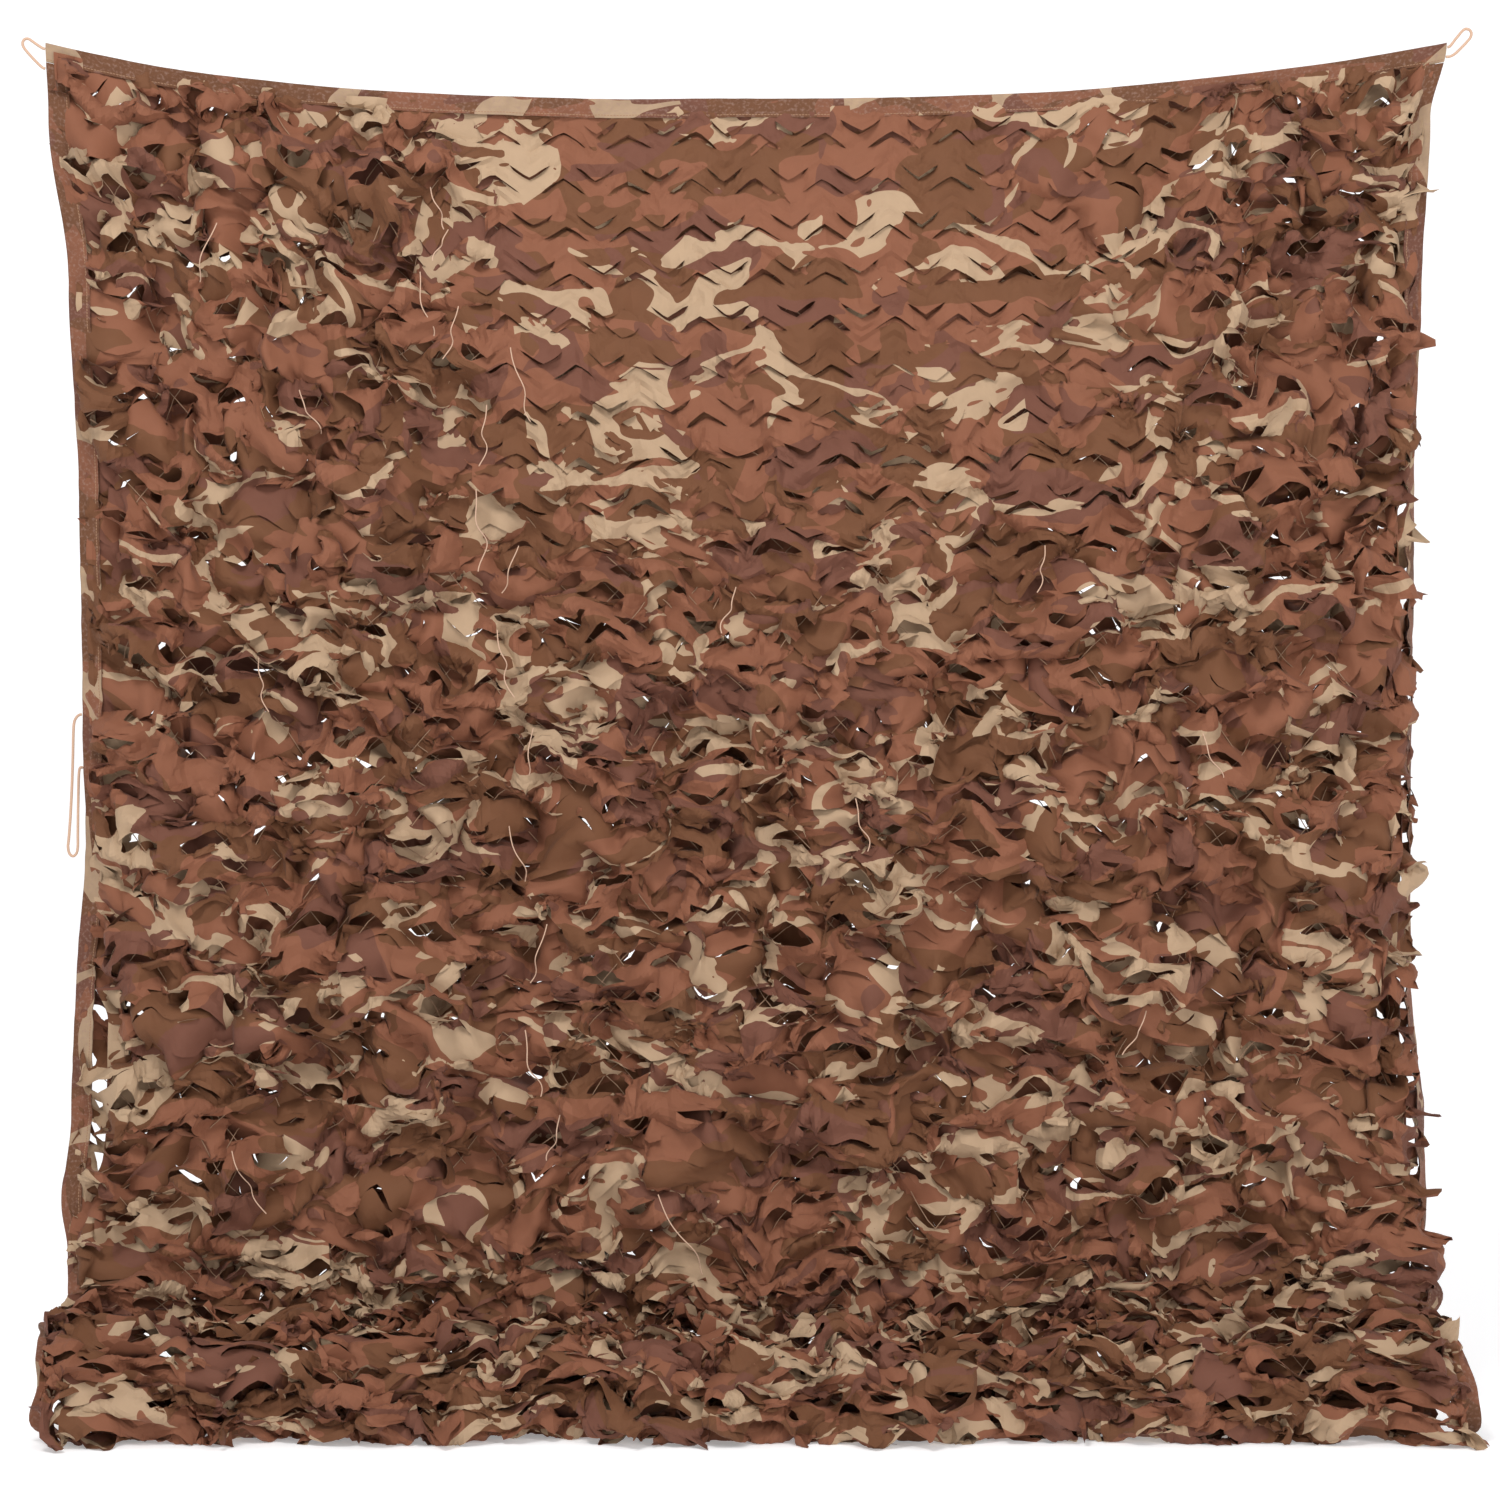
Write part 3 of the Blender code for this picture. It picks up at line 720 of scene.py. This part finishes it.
def second_ply(sheet, points):
    """A second ply of the same cloth behind the first, with its cuts out of step."""
    above, below, opened = sheet["above"], sheet["below"], sheet["opened"]
    across, down = sheet["flat"].T
    form, axes = form_frame(spread(across, down), settle(down))
    shift = np.einsum("nc,nkc->nk", points - form, axes)
    mirrored = np.arange(len(across))
    mirrored[above] = above[:, ::-1]
    mirrored[below[opened]] = below[:, ::-1][opened]
    shift = shift[mirrored] * (-1, 1, 1)
    wander_across = PLY_WANDER * value_noise(across, down, wave=0.13, seed=71)
    wander_down = PLY_WANDER * value_noise(across, down, wave=0.12, seed=72)
    inner = ramp(-np.abs(across), PLY_STEPS[0])
    step_across = across + (PLY_STEP_ACROSS + wander_across) * inner
    step_down = down + (PLY_STEP_DOWN + wander_down) * ramp(down, PLY_STEPS[1])
    laid = spread(step_across, step_down)
    laid = laid * (1 - PLY_IN * drawn_in(laid, settle(step_down)))
    form, axes = form_frame(laid, settle(step_down))
    inner = ramp(-np.abs(laid), PLY_INNER[0]) * ramp(down, PLY_INNER[1])
    shift[above[opened], 2] += PLY_LAP
    shift[below[opened], 2] -= PLY_LAP
    shift *= (PLY_EDGE_CRUMPLE + (1 - PLY_EDGE_CRUMPLE) * inner)[:, None]
    shift[:, 1] -= PLY_EDGE_GAP + PLY_GAP * inner
    return kept_in(form + np.einsum("nk,nkc->nc", shift, axes))


# ---------------- meshes
CREASE_NOISES = (facets, 0.0085, 0.036, 61), (facets, 0.0034, 0.019, 63)
UPRIGHT_CREASE = 0.0013  # height of fine creases that run down the cloth everywhere
UPRIGHT_LONG = 0.35  # their width beside their length
UPRIGHT_LOW = 0.28
SHARP_FOLD = math.radians(13)  # edges that fold more sharply are shaded so
PLY_PRINT = (7.0, 5.0)  # metres, so that the second ply isn't printed like the first
STRING_ROW_STEP = 2  # rows and columns of the cloth's grid that the mesh keeps to
STRING_COLUMNS = 7
STRING_EDGE = 5  # columns that it leaves free at each side
STRING_BEHIND = 0.012
STRING_RADIUS = 0.0006
STRING_SIDES = (0.5, 2.6, 4.7)  # radians, the corners of its section


def added(name, data):
    """An object of this data, put in the scene."""
    made = bpy.data.objects.new(name, data)
    bpy.context.collection.objects.link(made)
    return made


def made_object(name, vertices, faces, look):
    """A mesh object from arrays."""
    mesh = bpy.data.meshes.new(name)
    mesh.from_pydata([tuple(v) for v in vertices], [], [tuple(f) for f in faces])
    mesh.materials.append(look)
    mesh.shade_smooth()
    return added(name, mesh)


def corner_vertices(mesh):
    """The vertex of each corner of each face."""
    corner = np.empty(len(mesh.loops), dtype=np.int32)
    mesh.loops.foreach_get("vertex_index", corner)
    return corner


def flat_map(mesh, flat):
    """Stores the flat cloth's own metres as a UV map, for prints and weave."""
    layer = mesh.uv_layers.new(name="flat")
    corner = corner_vertices(mesh)
    layer.data.foreach_set("uv", flat[corner].astype(np.float32).ravel())


def quads(above, below, first, last):
    """Faces between rows of a grid, whose vertices serve the faces above and below a row."""
    return np.stack((below[first:last, :-1], below[first:last, 1:],
                     above[first + 1:last + 1, 1:], above[first + 1:last + 1, :-1]),
                    -1).reshape(-1, 4)


def cloth_mesh(name, sheet, points, first, last, look, print_shift=(0.0, 0.0)):
    """Some rows of the cloth as a mesh, and their length when flat."""
    above, below, flat = sheet["above"], sheet["below"], sheet["flat"]
    used, faces = np.unique(quads(above, below, first, last), return_inverse=True)
    piece = made_object(name, points[used], faces.reshape(-1, 4), look)
    flat_map(piece.data, flat[used] + print_shift)
    return piece, flat[above[last, 0], 1] - flat[above[first, 0], 1]


def creases(across, down):
    """Height of the sharp little folds that handling leaves in the cloth."""
    leafy = crumpled(spread(across, down), down)
    upright = np.abs(value_noise(across, down * UPRIGHT_LONG, wave=0.016, seed=65)) - UPRIGHT_LOW
    return leafy * noise_sum(across, down, CREASE_NOISES) + UPRIGHT_CREASE * upright


def finer(obj):
    """Divides each face of a mesh in four, and creases it."""
    modifier = obj.modifiers.new("finer", "SUBSURF")
    modifier.subdivision_type = "SIMPLE"
    modifier.levels = 1
    modifier.render_levels = 1
    graph = bpy.context.evaluated_depsgraph_get()
    mesh = bpy.data.meshes.new_from_object(obj.evaluated_get(graph))
    obj.modifiers.clear()
    old = obj.data
    obj.data = mesh
    bpy.data.meshes.remove(old)
    count = len(mesh.vertices)
    places, facing = np.empty(count * 3), np.empty(count * 3)
    mesh.vertices.foreach_get("co", places)
    mesh.vertices.foreach_get("normal", facing)
    uv = np.empty(len(mesh.loops) * 2)
    mesh.uv_layers["flat"].data.foreach_get("uv", uv)
    flat = np.empty((count, 2))
    flat[corner_vertices(mesh)] = uv.reshape(-1, 2)
    height = creases(flat[:, 0], flat[:, 1])
    places = kept_in(places.reshape(-1, 3) + facing.reshape(-1, 3) * height[:, None])
    mesh.vertices.foreach_set("co", places.ravel())
    mesh.update()
    mesh.set_sharp_from_angle(angle=SHARP_FOLD)


def rows_within(sheet, length):
    """How many rows of the grid lie within a length of the cloth."""
    return int(np.searchsorted(sheet["flat"][sheet["above"][:, 0], 1], length))


def net_pieces(sheet, points, look):
    """The cloth in lengths that stay small enough, each a mesh of its own."""
    periods = rows_within(sheet, SHOWN_CLOTH) // PERIOD_ROWS
    ends = [0] + [BAND_ROWS + PERIOD_ROWS * round(periods * k / SHOWN_PIECES)
                  for k in range(1, SHOWN_PIECES + 1)] + [len(sheet["above"]) - 1]
    for number, (first, last) in enumerate(zip(ends, ends[1:])):
        piece, length = cloth_mesh(f"net_{number + 1}", sheet, points, first, last, look)
        if number < SHOWN_PIECES:
            finer(piece)
        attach(piece, "root")
        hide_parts("net_cloth")


def inner_ply(sheet, points, look, strings):
    """The second ply, as far as it hangs."""
    last = rows_within(sheet, INNER_CLOTH)
    piece, _ = cloth_mesh("inner_ply", sheet, points, 0, last, look, PLY_PRINT)
    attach(piece, "root")


def string_mesh(sheet, points, look):
    """Diamond mesh of thin string close behind the cloth, as narrow three-sided tubes."""
    above = sheet["above"]
    rows, columns = rows_within(sheet, INNER_CLOTH), above.shape[1]
    across, down = sheet["flat"].T
    _, axes = form_frame(spread(across, down), settle(down))
    row = np.arange(2, rows, STRING_ROW_STEP)
    sides = len(STRING_SIDES)
    vertices, faces = [], []
    for lean in (-1, 1):
        for start in range(-rows, columns + rows, STRING_COLUMNS):
            column = start + lean * row
            kept = (column >= STRING_EDGE) & (column < columns - STRING_EDGE)
            if kept.sum() < 3:
                continue
            index = above[row[kept], column[kept]]
            side, out = axes[index, 0] - lean * axes[index, 2], axes[index, 1]
            line = points[index] - STRING_BEHIND * out
            for _ in range(3):
                line[1:-1] = (line[:-2] + 2 * line[1:-1] + line[2:]) / 4
            ring = [line + STRING_RADIUS * (math.cos(a) * side + math.sin(a) * out)
                    for a in STRING_SIDES]
            first = len(vertices)
            vertices.extend(np.stack(ring, 1).reshape(-1, 3).tolist())
            for k in range(first, len(vertices) - sides, sides):
                for a in range(sides):
                    b = (a + 1) % sides
                    faces.append((k + a, k + b, k + sides + b, k + sides + a))
    made = made_object("string_mesh", kept_in(np.array(vertices)), faces, look)
    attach(made, "root")
    return made


# ---------------- tapes
TAPE_STEP = 0.008  # from one section of a tape's mesh to the next
TAPE_FLAT_POINTS = 9  # of the section, on each side of the cloth
TAPE_FOLD_POINTS = 5  # and round the fold
TAPE_FOLD = 0.06  # share of the width at which the fold begins
TAPE_RIPPLES = ((0.0034, 0.019), (0.0030, 0.043))  # height and wave
RIPPLE_AT_FOLD = 0.25
RIPPLE_ACROSS = 0.02  # metres of the ripple's plane over the tape's width
TAPE_THIN = 0.25  # half the share by which its raw edges lie thinner
SLUMP = 0.016  # how far the side tapes slump in the heap
SLUMP_WAVES = (0.055, 0.050)
SLUMP_BACK = 0.6
SLUMP_FROM = 0.9  # share of the half width
FOLD_MAP_STEP = 1e-4  # by which the fold's points lie apart on the flat map
SIDE_IN = 0.985  # across the form, where the side tapes' length is measured
TAPE_APART = 0.001  # the side tapes' ends from the top and the bottom one


def folded_tape(name, node, run, place, look, seed):
    """A strip folded over the edge of the cloth: run is along it, place gives across and down.

    Its flat map is the place along it, and the seed plus the distance in from a raw edge.
    """
    turns = np.linspace(0, math.pi, TAPE_FOLD_POINTS + 2)[1:-1]
    side = np.ones(TAPE_FLAT_POINTS)
    inward = np.concatenate((np.linspace(1, TAPE_FOLD, TAPE_FLAT_POINTS),
                             np.zeros(TAPE_FOLD_POINTS),
                             np.linspace(TAPE_FOLD, 1, TAPE_FLAT_POINTS)))
    height = np.concatenate((side, np.cos(turns), -side))
    along = np.append(np.arange(0, run[1] - run[0], TAPE_STEP) + run[0], run[1])
    along_grid, share = np.meshgrid(along, inward, indexing="ij")
    across, down = place(along_grid, share * TAPE_WIDTH)
    points, axes = form_frame(across, down)

    def noise(wave, number):
        return value_noise(along_grid, share * RIPPLE_ACROSS, wave, seed + number)

    ripple = sum(size * noise(wave, k) for k, (size, wave) in enumerate(TAPE_RIPPLES))
    seam = 1 - TAPE_THIN + TAPE_THIN * np.cos(2 * math.pi * np.clip(share - 0.5, 0, 1))
    offset = (ripple * (RIPPLE_AT_FOLD + (1 - RIPPLE_AT_FOLD) * share)
              + height * TAPE_HALF * seam)
    points = points + axes[..., 1, :] * offset[..., None]
    slump = SLUMP * heaped(down) * (np.abs(across) > SLUMP_FROM * HALF_WIDTH)
    points[..., 0] += slump * noise(SLUMP_WAVES[0], 2)
    points[..., 1] += slump * (SLUMP_BACK + noise(SLUMP_WAVES[1], 3))
    points[..., 2] = np.maximum(points[..., 2], LOWEST)
    rows, columns = along_grid.shape
    index = np.arange(rows * columns).reshape(rows, columns)
    made = made_object(name, points.reshape(-1, 3), quads(index, index, 0, rows - 1), look)
    fold = running_sum(np.abs(np.diff(inward)) * TAPE_WIDTH + FOLD_MAP_STEP)
    flat = np.stack((along_grid, np.broadcast_to(fold, along_grid.shape) + seed), -1)
    flat_map(made.data, flat.reshape(-1, 2))
    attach(made, "root")
    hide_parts(node)


def add_tapes(look):
    """The four tapes; the side ones run between the top and the bottom one."""
    side_run = (TAPE_WIDTH + TAPE_APART, NET_LENGTH - TAPE_WIDTH - TAPE_APART)
    side_length = float(step_lengths(drape(-SIDE_IN, np.linspace(*side_run, 2000))).sum())
    end_run = (-HALF_WIDTH, HALF_WIDTH)
    folded_tape("binding_left", "tape_left", side_run,
                lambda run, inward: (-HALF_WIDTH + inward, run), look, 21)
    folded_tape("binding_right", "tape_right", side_run,
                lambda run, inward: (HALF_WIDTH - inward, run), look, 31)
    folded_tape("binding_top", "tape_top", end_run,
                lambda run, inward: (run, inward), look, 41)
    folded_tape("binding_bottom", "tape_bottom", end_run,
                lambda run, inward: (run, NET_LENGTH - inward), look, 51)


# ---------------- cords
# loose threads: x and z where each leaves the cloth, its length, and how it leans
THREADS = (
    (-0.455, -0.130, 0.075, 0.5), (-0.430, -0.190, 0.060, -0.6), (-0.470, -0.250, 0.110, 0.2),
    (-0.415, -0.300, 0.090, -0.3), (-0.340, -0.360, 0.120, 0.4), (-0.375, -0.440, 0.100, -0.1),
    (-0.390, -0.560, 0.130, 0.15), (-0.330, -0.640, 0.085, -0.5), (-0.360, -0.760, 0.110, 0.3),
    (-0.310, -0.900, 0.095, -0.2), (-0.345, -1.040, 0.120, 0.45), (-0.290, -1.180, 0.100, -0.4),
    (-0.320, -1.330, 0.110, 0.25), (-0.270, -1.450, 0.080, -0.3), (-0.760, -0.180, 0.100, -0.5),
    (-0.640, -0.420, 0.080, 0.6), (-0.700, -0.800, 0.090, 0.2), (-0.735, -1.500, 0.110, 0.7),
    (-0.020, -0.700, 0.080, -0.4), (0.150, -1.000, 0.090, 0.3), (0.420, -0.640, 0.080, -0.2),
    (0.640, -0.900, 0.090, 0.5), (-0.130, -1.560, 0.140, 0.8), (0.560, -1.300, 0.080, -0.6),
)
THREAD_DIAMETER = 0.0018
THREAD_OUT = 0.020  # in front of the draped form


def corded(name, path, diameter, resolution, look):
    """A round curve object along a path."""
    curve = bpy.data.curves.new(name, "CURVE")
    curve.dimensions = "3D"
    curve.bevel_depth = diameter / 2
    curve.bevel_resolution = resolution
    curve.use_fill_caps = True
    spline = curve.splines.new("POLY")
    spline.points.add(len(path) - 1)
    spline.points.foreach_set("co", np.column_stack((path, np.ones(len(path)))).ravel())
    curve.materials.append(look)
    return added(name, curve)


def add_threads(look):
    """Loose ends of string that hang out of the slits in front of the cloth."""
    for number, (x, z, length, lean) in enumerate(THREADS):
        rng = np.random.default_rng(200 + number)
        share = np.linspace(0, 1, 40)[:, None]
        wave = rng.uniform(5, 9)
        path = np.hstack((
            length * (lean * 0.6 * share + 0.07 * np.sin(wave * share + rng.uniform(0, 6)) * share),
            -0.012 * np.sin(math.pi * share) - 0.006 * np.sin(wave * 0.8 * share),
            -length * (share * 0.8 + 0.05 * np.sin(wave * 0.7 * share)),
        ))
        path -= path[0]
        path *= length / step_lengths(path).sum()
        path += (x, drape(x, -z / (1 - CRUMPLE))[1] - THREAD_OUT, z)
        made = corded(f"thread_{number + 1}", path, THREAD_DIAMETER, 1, look)
        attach(made, "root")
        tuple(path[0])


def add_cord(name, node, route, look):
    """A cord on a smooth curve through its route's points."""
    path = through(np.array(route), places_along(route, steps=12))
    made = corded(name, path, CORD_DIAMETER, 3, look)
    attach(made, "root")
    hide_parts(node)
    float(step_lengths(path).sum())


# ---------------- materials
class Nodes:
    """Short ways to make and wire a material's nodes."""

    MIX_UNDER, MIX_OVER, MIX_COLOUR = 6, 7, 2       # a Mix node's own numbers of its colours

    def __init__(self, name):
        self.material = bpy.data.materials.new(name)
        self.material.use_nodes = True
        self.tree = self.material.node_tree
        self.shader = self.tree.nodes["Principled BSDF"]

    def feed(self, node, inputs):
        """Gives inputs of a node their values, or wires them to other nodes' outputs."""
        for socket, value in inputs.items():
            if hasattr(value, "node"):
                self.tree.links.new(value, node.inputs[socket])
            else:
                node.inputs[socket].default_value = value

    def new(self, kind, inputs, **settings):
        """A node of this kind, with these inputs and settings."""
        node = self.tree.nodes.new("ShaderNode" + kind)
        for setting, value in settings.items():
            setattr(node, setting, value)
        self.feed(node, inputs)
        return node

    def math(self, operation, a, b=0.0):
        return self.new("Math", {0: a, 1: b}, operation=operation).outputs[0]

    def flat_place(self):
        """The cloth's own metres: a vector, and its two parts."""
        place = self.new("UVMap", {}, uv_map="flat").outputs[0]
        parts = self.new("SeparateXYZ", {0: place}).outputs
        return place, parts[0], parts[1]

    def noise(self, place, scale, stretch=1.0, offset=(0, 0), detail=2.0, distort=0.0):
        mapping = self.new("Mapping", {"Location": (*offset, 0), "Scale": (1.0, stretch, 1.0),
                                       "Vector": place})
        return self.new("TexNoise", {"Scale": scale, "Detail": detail, "Distortion": distort,
                                     "Vector": mapping.outputs[0]}).outputs["Fac"]

    def mix(self, under, over, share):
        inputs = {"Factor": share, self.MIX_UNDER: under, self.MIX_OVER: over}
        return self.new("Mix", inputs, data_type="RGBA").outputs[self.MIX_COLOUR]

    def finished(self, height=None, **shader):
        """The material, with this bump and these inputs of its shader, _ standing for a space."""
        self.feed(self.shader, {name.replace("_", " "): value for name, value in shader.items()})
        if height is not None:
            bump = self.new("Bump", {"Distance": BUMP_HEIGHT, "Height": height})
            self.feed(self.shader, {"Normal": bump.outputs[0]})
        return self.material


CLAY = (0.236, 0.089, 0.047, 1)
UMBER = (0.155, 0.062, 0.027, 1)
MAUVE = (0.160, 0.061, 0.038, 1)
SAND = (0.445, 0.305, 0.192, 1)
SAND_HALF = 0.042  # half the height of the noise's ridge that is sand
# dark colour mixed in: wear on the cloth, and on the tapes also painted shade
WORN_AND_SHADE = (0.060, 0.030, 0.020, 1)
CLOTH_WORN, TAPE_WEAR_AND_SHADE = 0.16, 0.50  # how much of it shows; the tapes' larger share is painted shade, darkening them for the self-shadowing that the crumpled cloth has and they lack
DUST = (0.300, 0.190, 0.150, 1)
DUST_SHARE = 2.3
STITCH_COLOUR = (0.30, 0.17, 0.10, 1)
WEAVE_STEP = 0.0011  # from one thread of the cloth to the next
WEAVE_HEIGHT, GRAIN_HEIGHT = 0.12, 0.9  # of the bump's
BUMP_HEIGHT = 0.0006
SEAM_IN = 0.0045  # of the seam, in from the tape's raw edge
SEAM_HALF = 0.0006
STITCH = 0.0045
STITCH_SHARE = 0.72  # of it that is thread
PUCKER_SLOPE = 160.0
CORD_DARK, CORD_LIGHT = (0.50, 0.31, 0.21, 1), (0.66, 0.46, 0.34, 1)
STRING_DARK, STRING_LIGHT = (0.26, 0.15, 0.09, 1), (0.40, 0.26, 0.17, 1)


def camouflage(look, place):
    """A print of islands in two browns and sand over clay."""

    def islands(level, **noise):
        return look.math("GREATER_THAN", look.noise(place, **noise), level)

    umber = islands(0.51, scale=6.2, stretch=1.4, offset=(3.1, 7.7), distort=0.6)
    mauve = islands(0.57, scale=7.4, stretch=1.3, offset=(9.4, 2.2), distort=0.5)
    ridge = look.math("SUBTRACT", look.noise(place, scale=4.8, stretch=1.7, offset=(1.3, 4.9),
                                             detail=2.5, distort=0.9), 0.5)
    island = islands(0.50, scale=4.6, stretch=1.3, offset=(6.6, 0.4), detail=1.0, distort=0.3)
    sand = look.math("LESS_THAN", look.math("ABSOLUTE", ridge), SAND_HALF)
    sand = look.math("MULTIPLY", sand, island)
    return look.mix(look.mix(look.mix(CLAY, UMBER, umber), MAUVE, mauve), SAND, sand)


def weave(look, u, v):
    """Height of a plain weave."""
    turns = 2 * math.pi / WEAVE_STEP
    return look.math("MULTIPLY", look.math("SINE", look.math("MULTIPLY", u, turns)),
                     look.math("SINE", look.math("MULTIPLY", v, turns)))


def printed_look(name, stitched=False):
    """Printed cloth; a stitched one has a seam along it, for the folded tapes."""
    look = Nodes(name)
    place, u, v = look.flat_place()
    colour = camouflage(look, place)
    # the dark colour mixed in by a noise: wear on the cloth; on the tapes a larger share, painted
    # shade for the self-shadowing they lack
    wear_and_shade = look.noise(place, scale=38.0, offset=(2.7, 3.3), detail=3.0)
    wear_and_shade = look.math("MULTIPLY", wear_and_shade, TAPE_WEAR_AND_SHADE if stitched else CLOTH_WORN)
    colour = look.mix(colour, WORN_AND_SHADE, wear_and_shade)
    grain = look.math("MULTIPLY", look.noise(place, scale=150.0), GRAIN_HEIGHT)
    height = look.math("ADD", look.math("MULTIPLY", weave(look, u, v), WEAVE_HEIGHT), grain)
    if stitched:
        dust = look.noise(place, scale=190.0, offset=(5.1, 1.9), detail=3.0)
        dust = look.math("MAXIMUM", look.math("SUBTRACT", dust, 0.50), 0.0)
        colour = look.mix(colour, DUST, look.math("MULTIPLY", dust, DUST_SHARE))
        off = look.math("SUBTRACT", look.math("FRACT", v), SEAM_IN)
        off = look.math("ABSOLUTE", off)
        seam = look.math("LESS_THAN", off, SEAM_HALF)
        dash = look.math("FRACT", look.math("DIVIDE", u, STITCH))
        dash = look.math("LESS_THAN", dash, STITCH_SHARE)
        colour = look.mix(colour, STITCH_COLOUR, look.math("MULTIPLY", seam, dash))
        pucker = look.math("SUBTRACT", 1.0, look.math("MULTIPLY", PUCKER_SLOPE, off))
        height = look.math("SUBTRACT", height, look.math("MAXIMUM", pucker, 0.0))
    return look.finished(height, Base_Color=colour, Roughness=0.72, Specular_IOR_Level=0.22,
                         Sheen_Weight=0.04, Sheen_Roughness=0.4)


def cord_look(name, dark, light):
    """Beige twisted cord or string."""
    look = Nodes(name)
    grain = look.noise(look.new("TexCoord", {}).outputs["Object"], scale=900.0)
    return look.finished(grain, Base_Color=look.mix(dark, light, grain), Roughness=0.85,
                         Specular_IOR_Level=0.2)


# ---------------- camera, light and stage
VIEW_DISTANCE = 5.0
VIEW_WIDTH = 2.145  # width of the frame at the hanging plane
VIEW_HEIGHT = -0.931
SENSOR = 36.0
STAGE_WHITE = (0.93, 0.93, 0.94, 1)
STAGE_GLOW = 0.27
STAGE_HALF = 14.0  # half its width
STAGE_FRONT, STAGE_BACK = -12.0, 9.0
STAGE_BEND = 2.5  # radius of the bend from floor to wall
STAGE_TALL = 9.0
BEND_POINTS = 16
WHITE = (1, 1, 1, 1)
WORLD_GLOW = 0.70
LIT_MIDDLE = (0, 0, -0.9)


def add_camera():
    """The photo's view, square on to the net."""
    camera = bpy.data.cameras.new("camera")
    camera.sensor_width = SENSOR
    camera.lens = SENSOR * VIEW_DISTANCE / VIEW_WIDTH
    made = added("camera", camera)
    made.location = (0, -VIEW_DISTANCE, VIEW_HEIGHT)
    made.rotation_euler = (math.radians(90), 0, 0)
    bpy.context.scene.camera = made


def add_stage():
    """White floor that bends up into a wall far behind."""
    look = Nodes("stage").finished(Base_Color=STAGE_WHITE, Roughness=0.95,
                                   Specular_IOR_Level=0.1, Emission_Color=WHITE,
                                   Emission_Strength=STAGE_GLOW)
    foot = STAGE_BACK - STAGE_BEND
    profile = [(STAGE_FRONT, 0.0), (foot, 0.0)]
    profile += [(foot + STAGE_BEND * math.sin(a), STAGE_BEND - STAGE_BEND * math.cos(a))
                for a in np.linspace(0, math.pi / 2, BEND_POINTS)[1:]]
    profile += [(STAGE_BACK, STAGE_TALL)]
    vertices = [(x, y, z - FLOOR_DROP) for x in (-STAGE_HALF, STAGE_HALF) for y, z in profile]
    count = len(profile)
    faces = [(k, k + 1, count + k + 1, count + k) for k in range(count - 1)]
    made_object("stage", vertices, faces, look)


def add_light(name, place, size, power):
    """A soft light that looks at the middle of the net."""
    light = bpy.data.lights.new(name, "AREA")
    light.shape = "RECTANGLE"
    light.size, light.size_y = size
    light.energy = power
    made = added(name, light)
    made.location = place
    aim = Vector(LIT_MIDDLE) - Vector(place)
    made.rotation_euler = aim.to_track_quat("-Z", "Y").to_euler()


def add_lights():
    """Key from the upper left, fill from the right, and an even glow all round."""
    add_light("key", (-1.2, -3.2, 2.6), (1.3, 1.0), 118)
    add_light("fill", (2.8, -3.8, 0.4), (1.6, 2.2), 60)
    world = bpy.data.worlds.new("world")
    bpy.context.scene.world = world
    world.use_nodes = True
    background = world.node_tree.nodes["Background"]
    background.inputs["Color"].default_value = WHITE
    background.inputs["Strength"].default_value = WORLD_GLOW


# ---------------- the pieces
add_camera()
cord_finish = cord_look("cord", CORD_DARK, CORD_LIGHT)
string_finish = cord_look("string", STRING_DARK, STRING_LIGHT)
add_cord("corner_cord_left", "loop_left", LEFT_LOOP, cord_finish)
add_cord("corner_cord_right", "loop_right", RIGHT_LOOP, cord_finish)
add_cord("slack_cord", "loop_slack", SLACK_LOOP, cord_finish)
add_threads(cord_finish)
sheet = cut_sheet()
points, inner_points = settled_cloth(sheet)
cloth_look = printed_look("printed_cloth")
net_pieces(sheet, points, cloth_look)
inner_ply(sheet, second_ply(sheet, inner_points), cloth_look,
          string_mesh(sheet, inner_points, string_finish))
add_tapes(printed_look("printed_tape", stitched=True))
add_stage()
add_lights()
bpy.context.scene.view_settings.view_transform = "Standard"
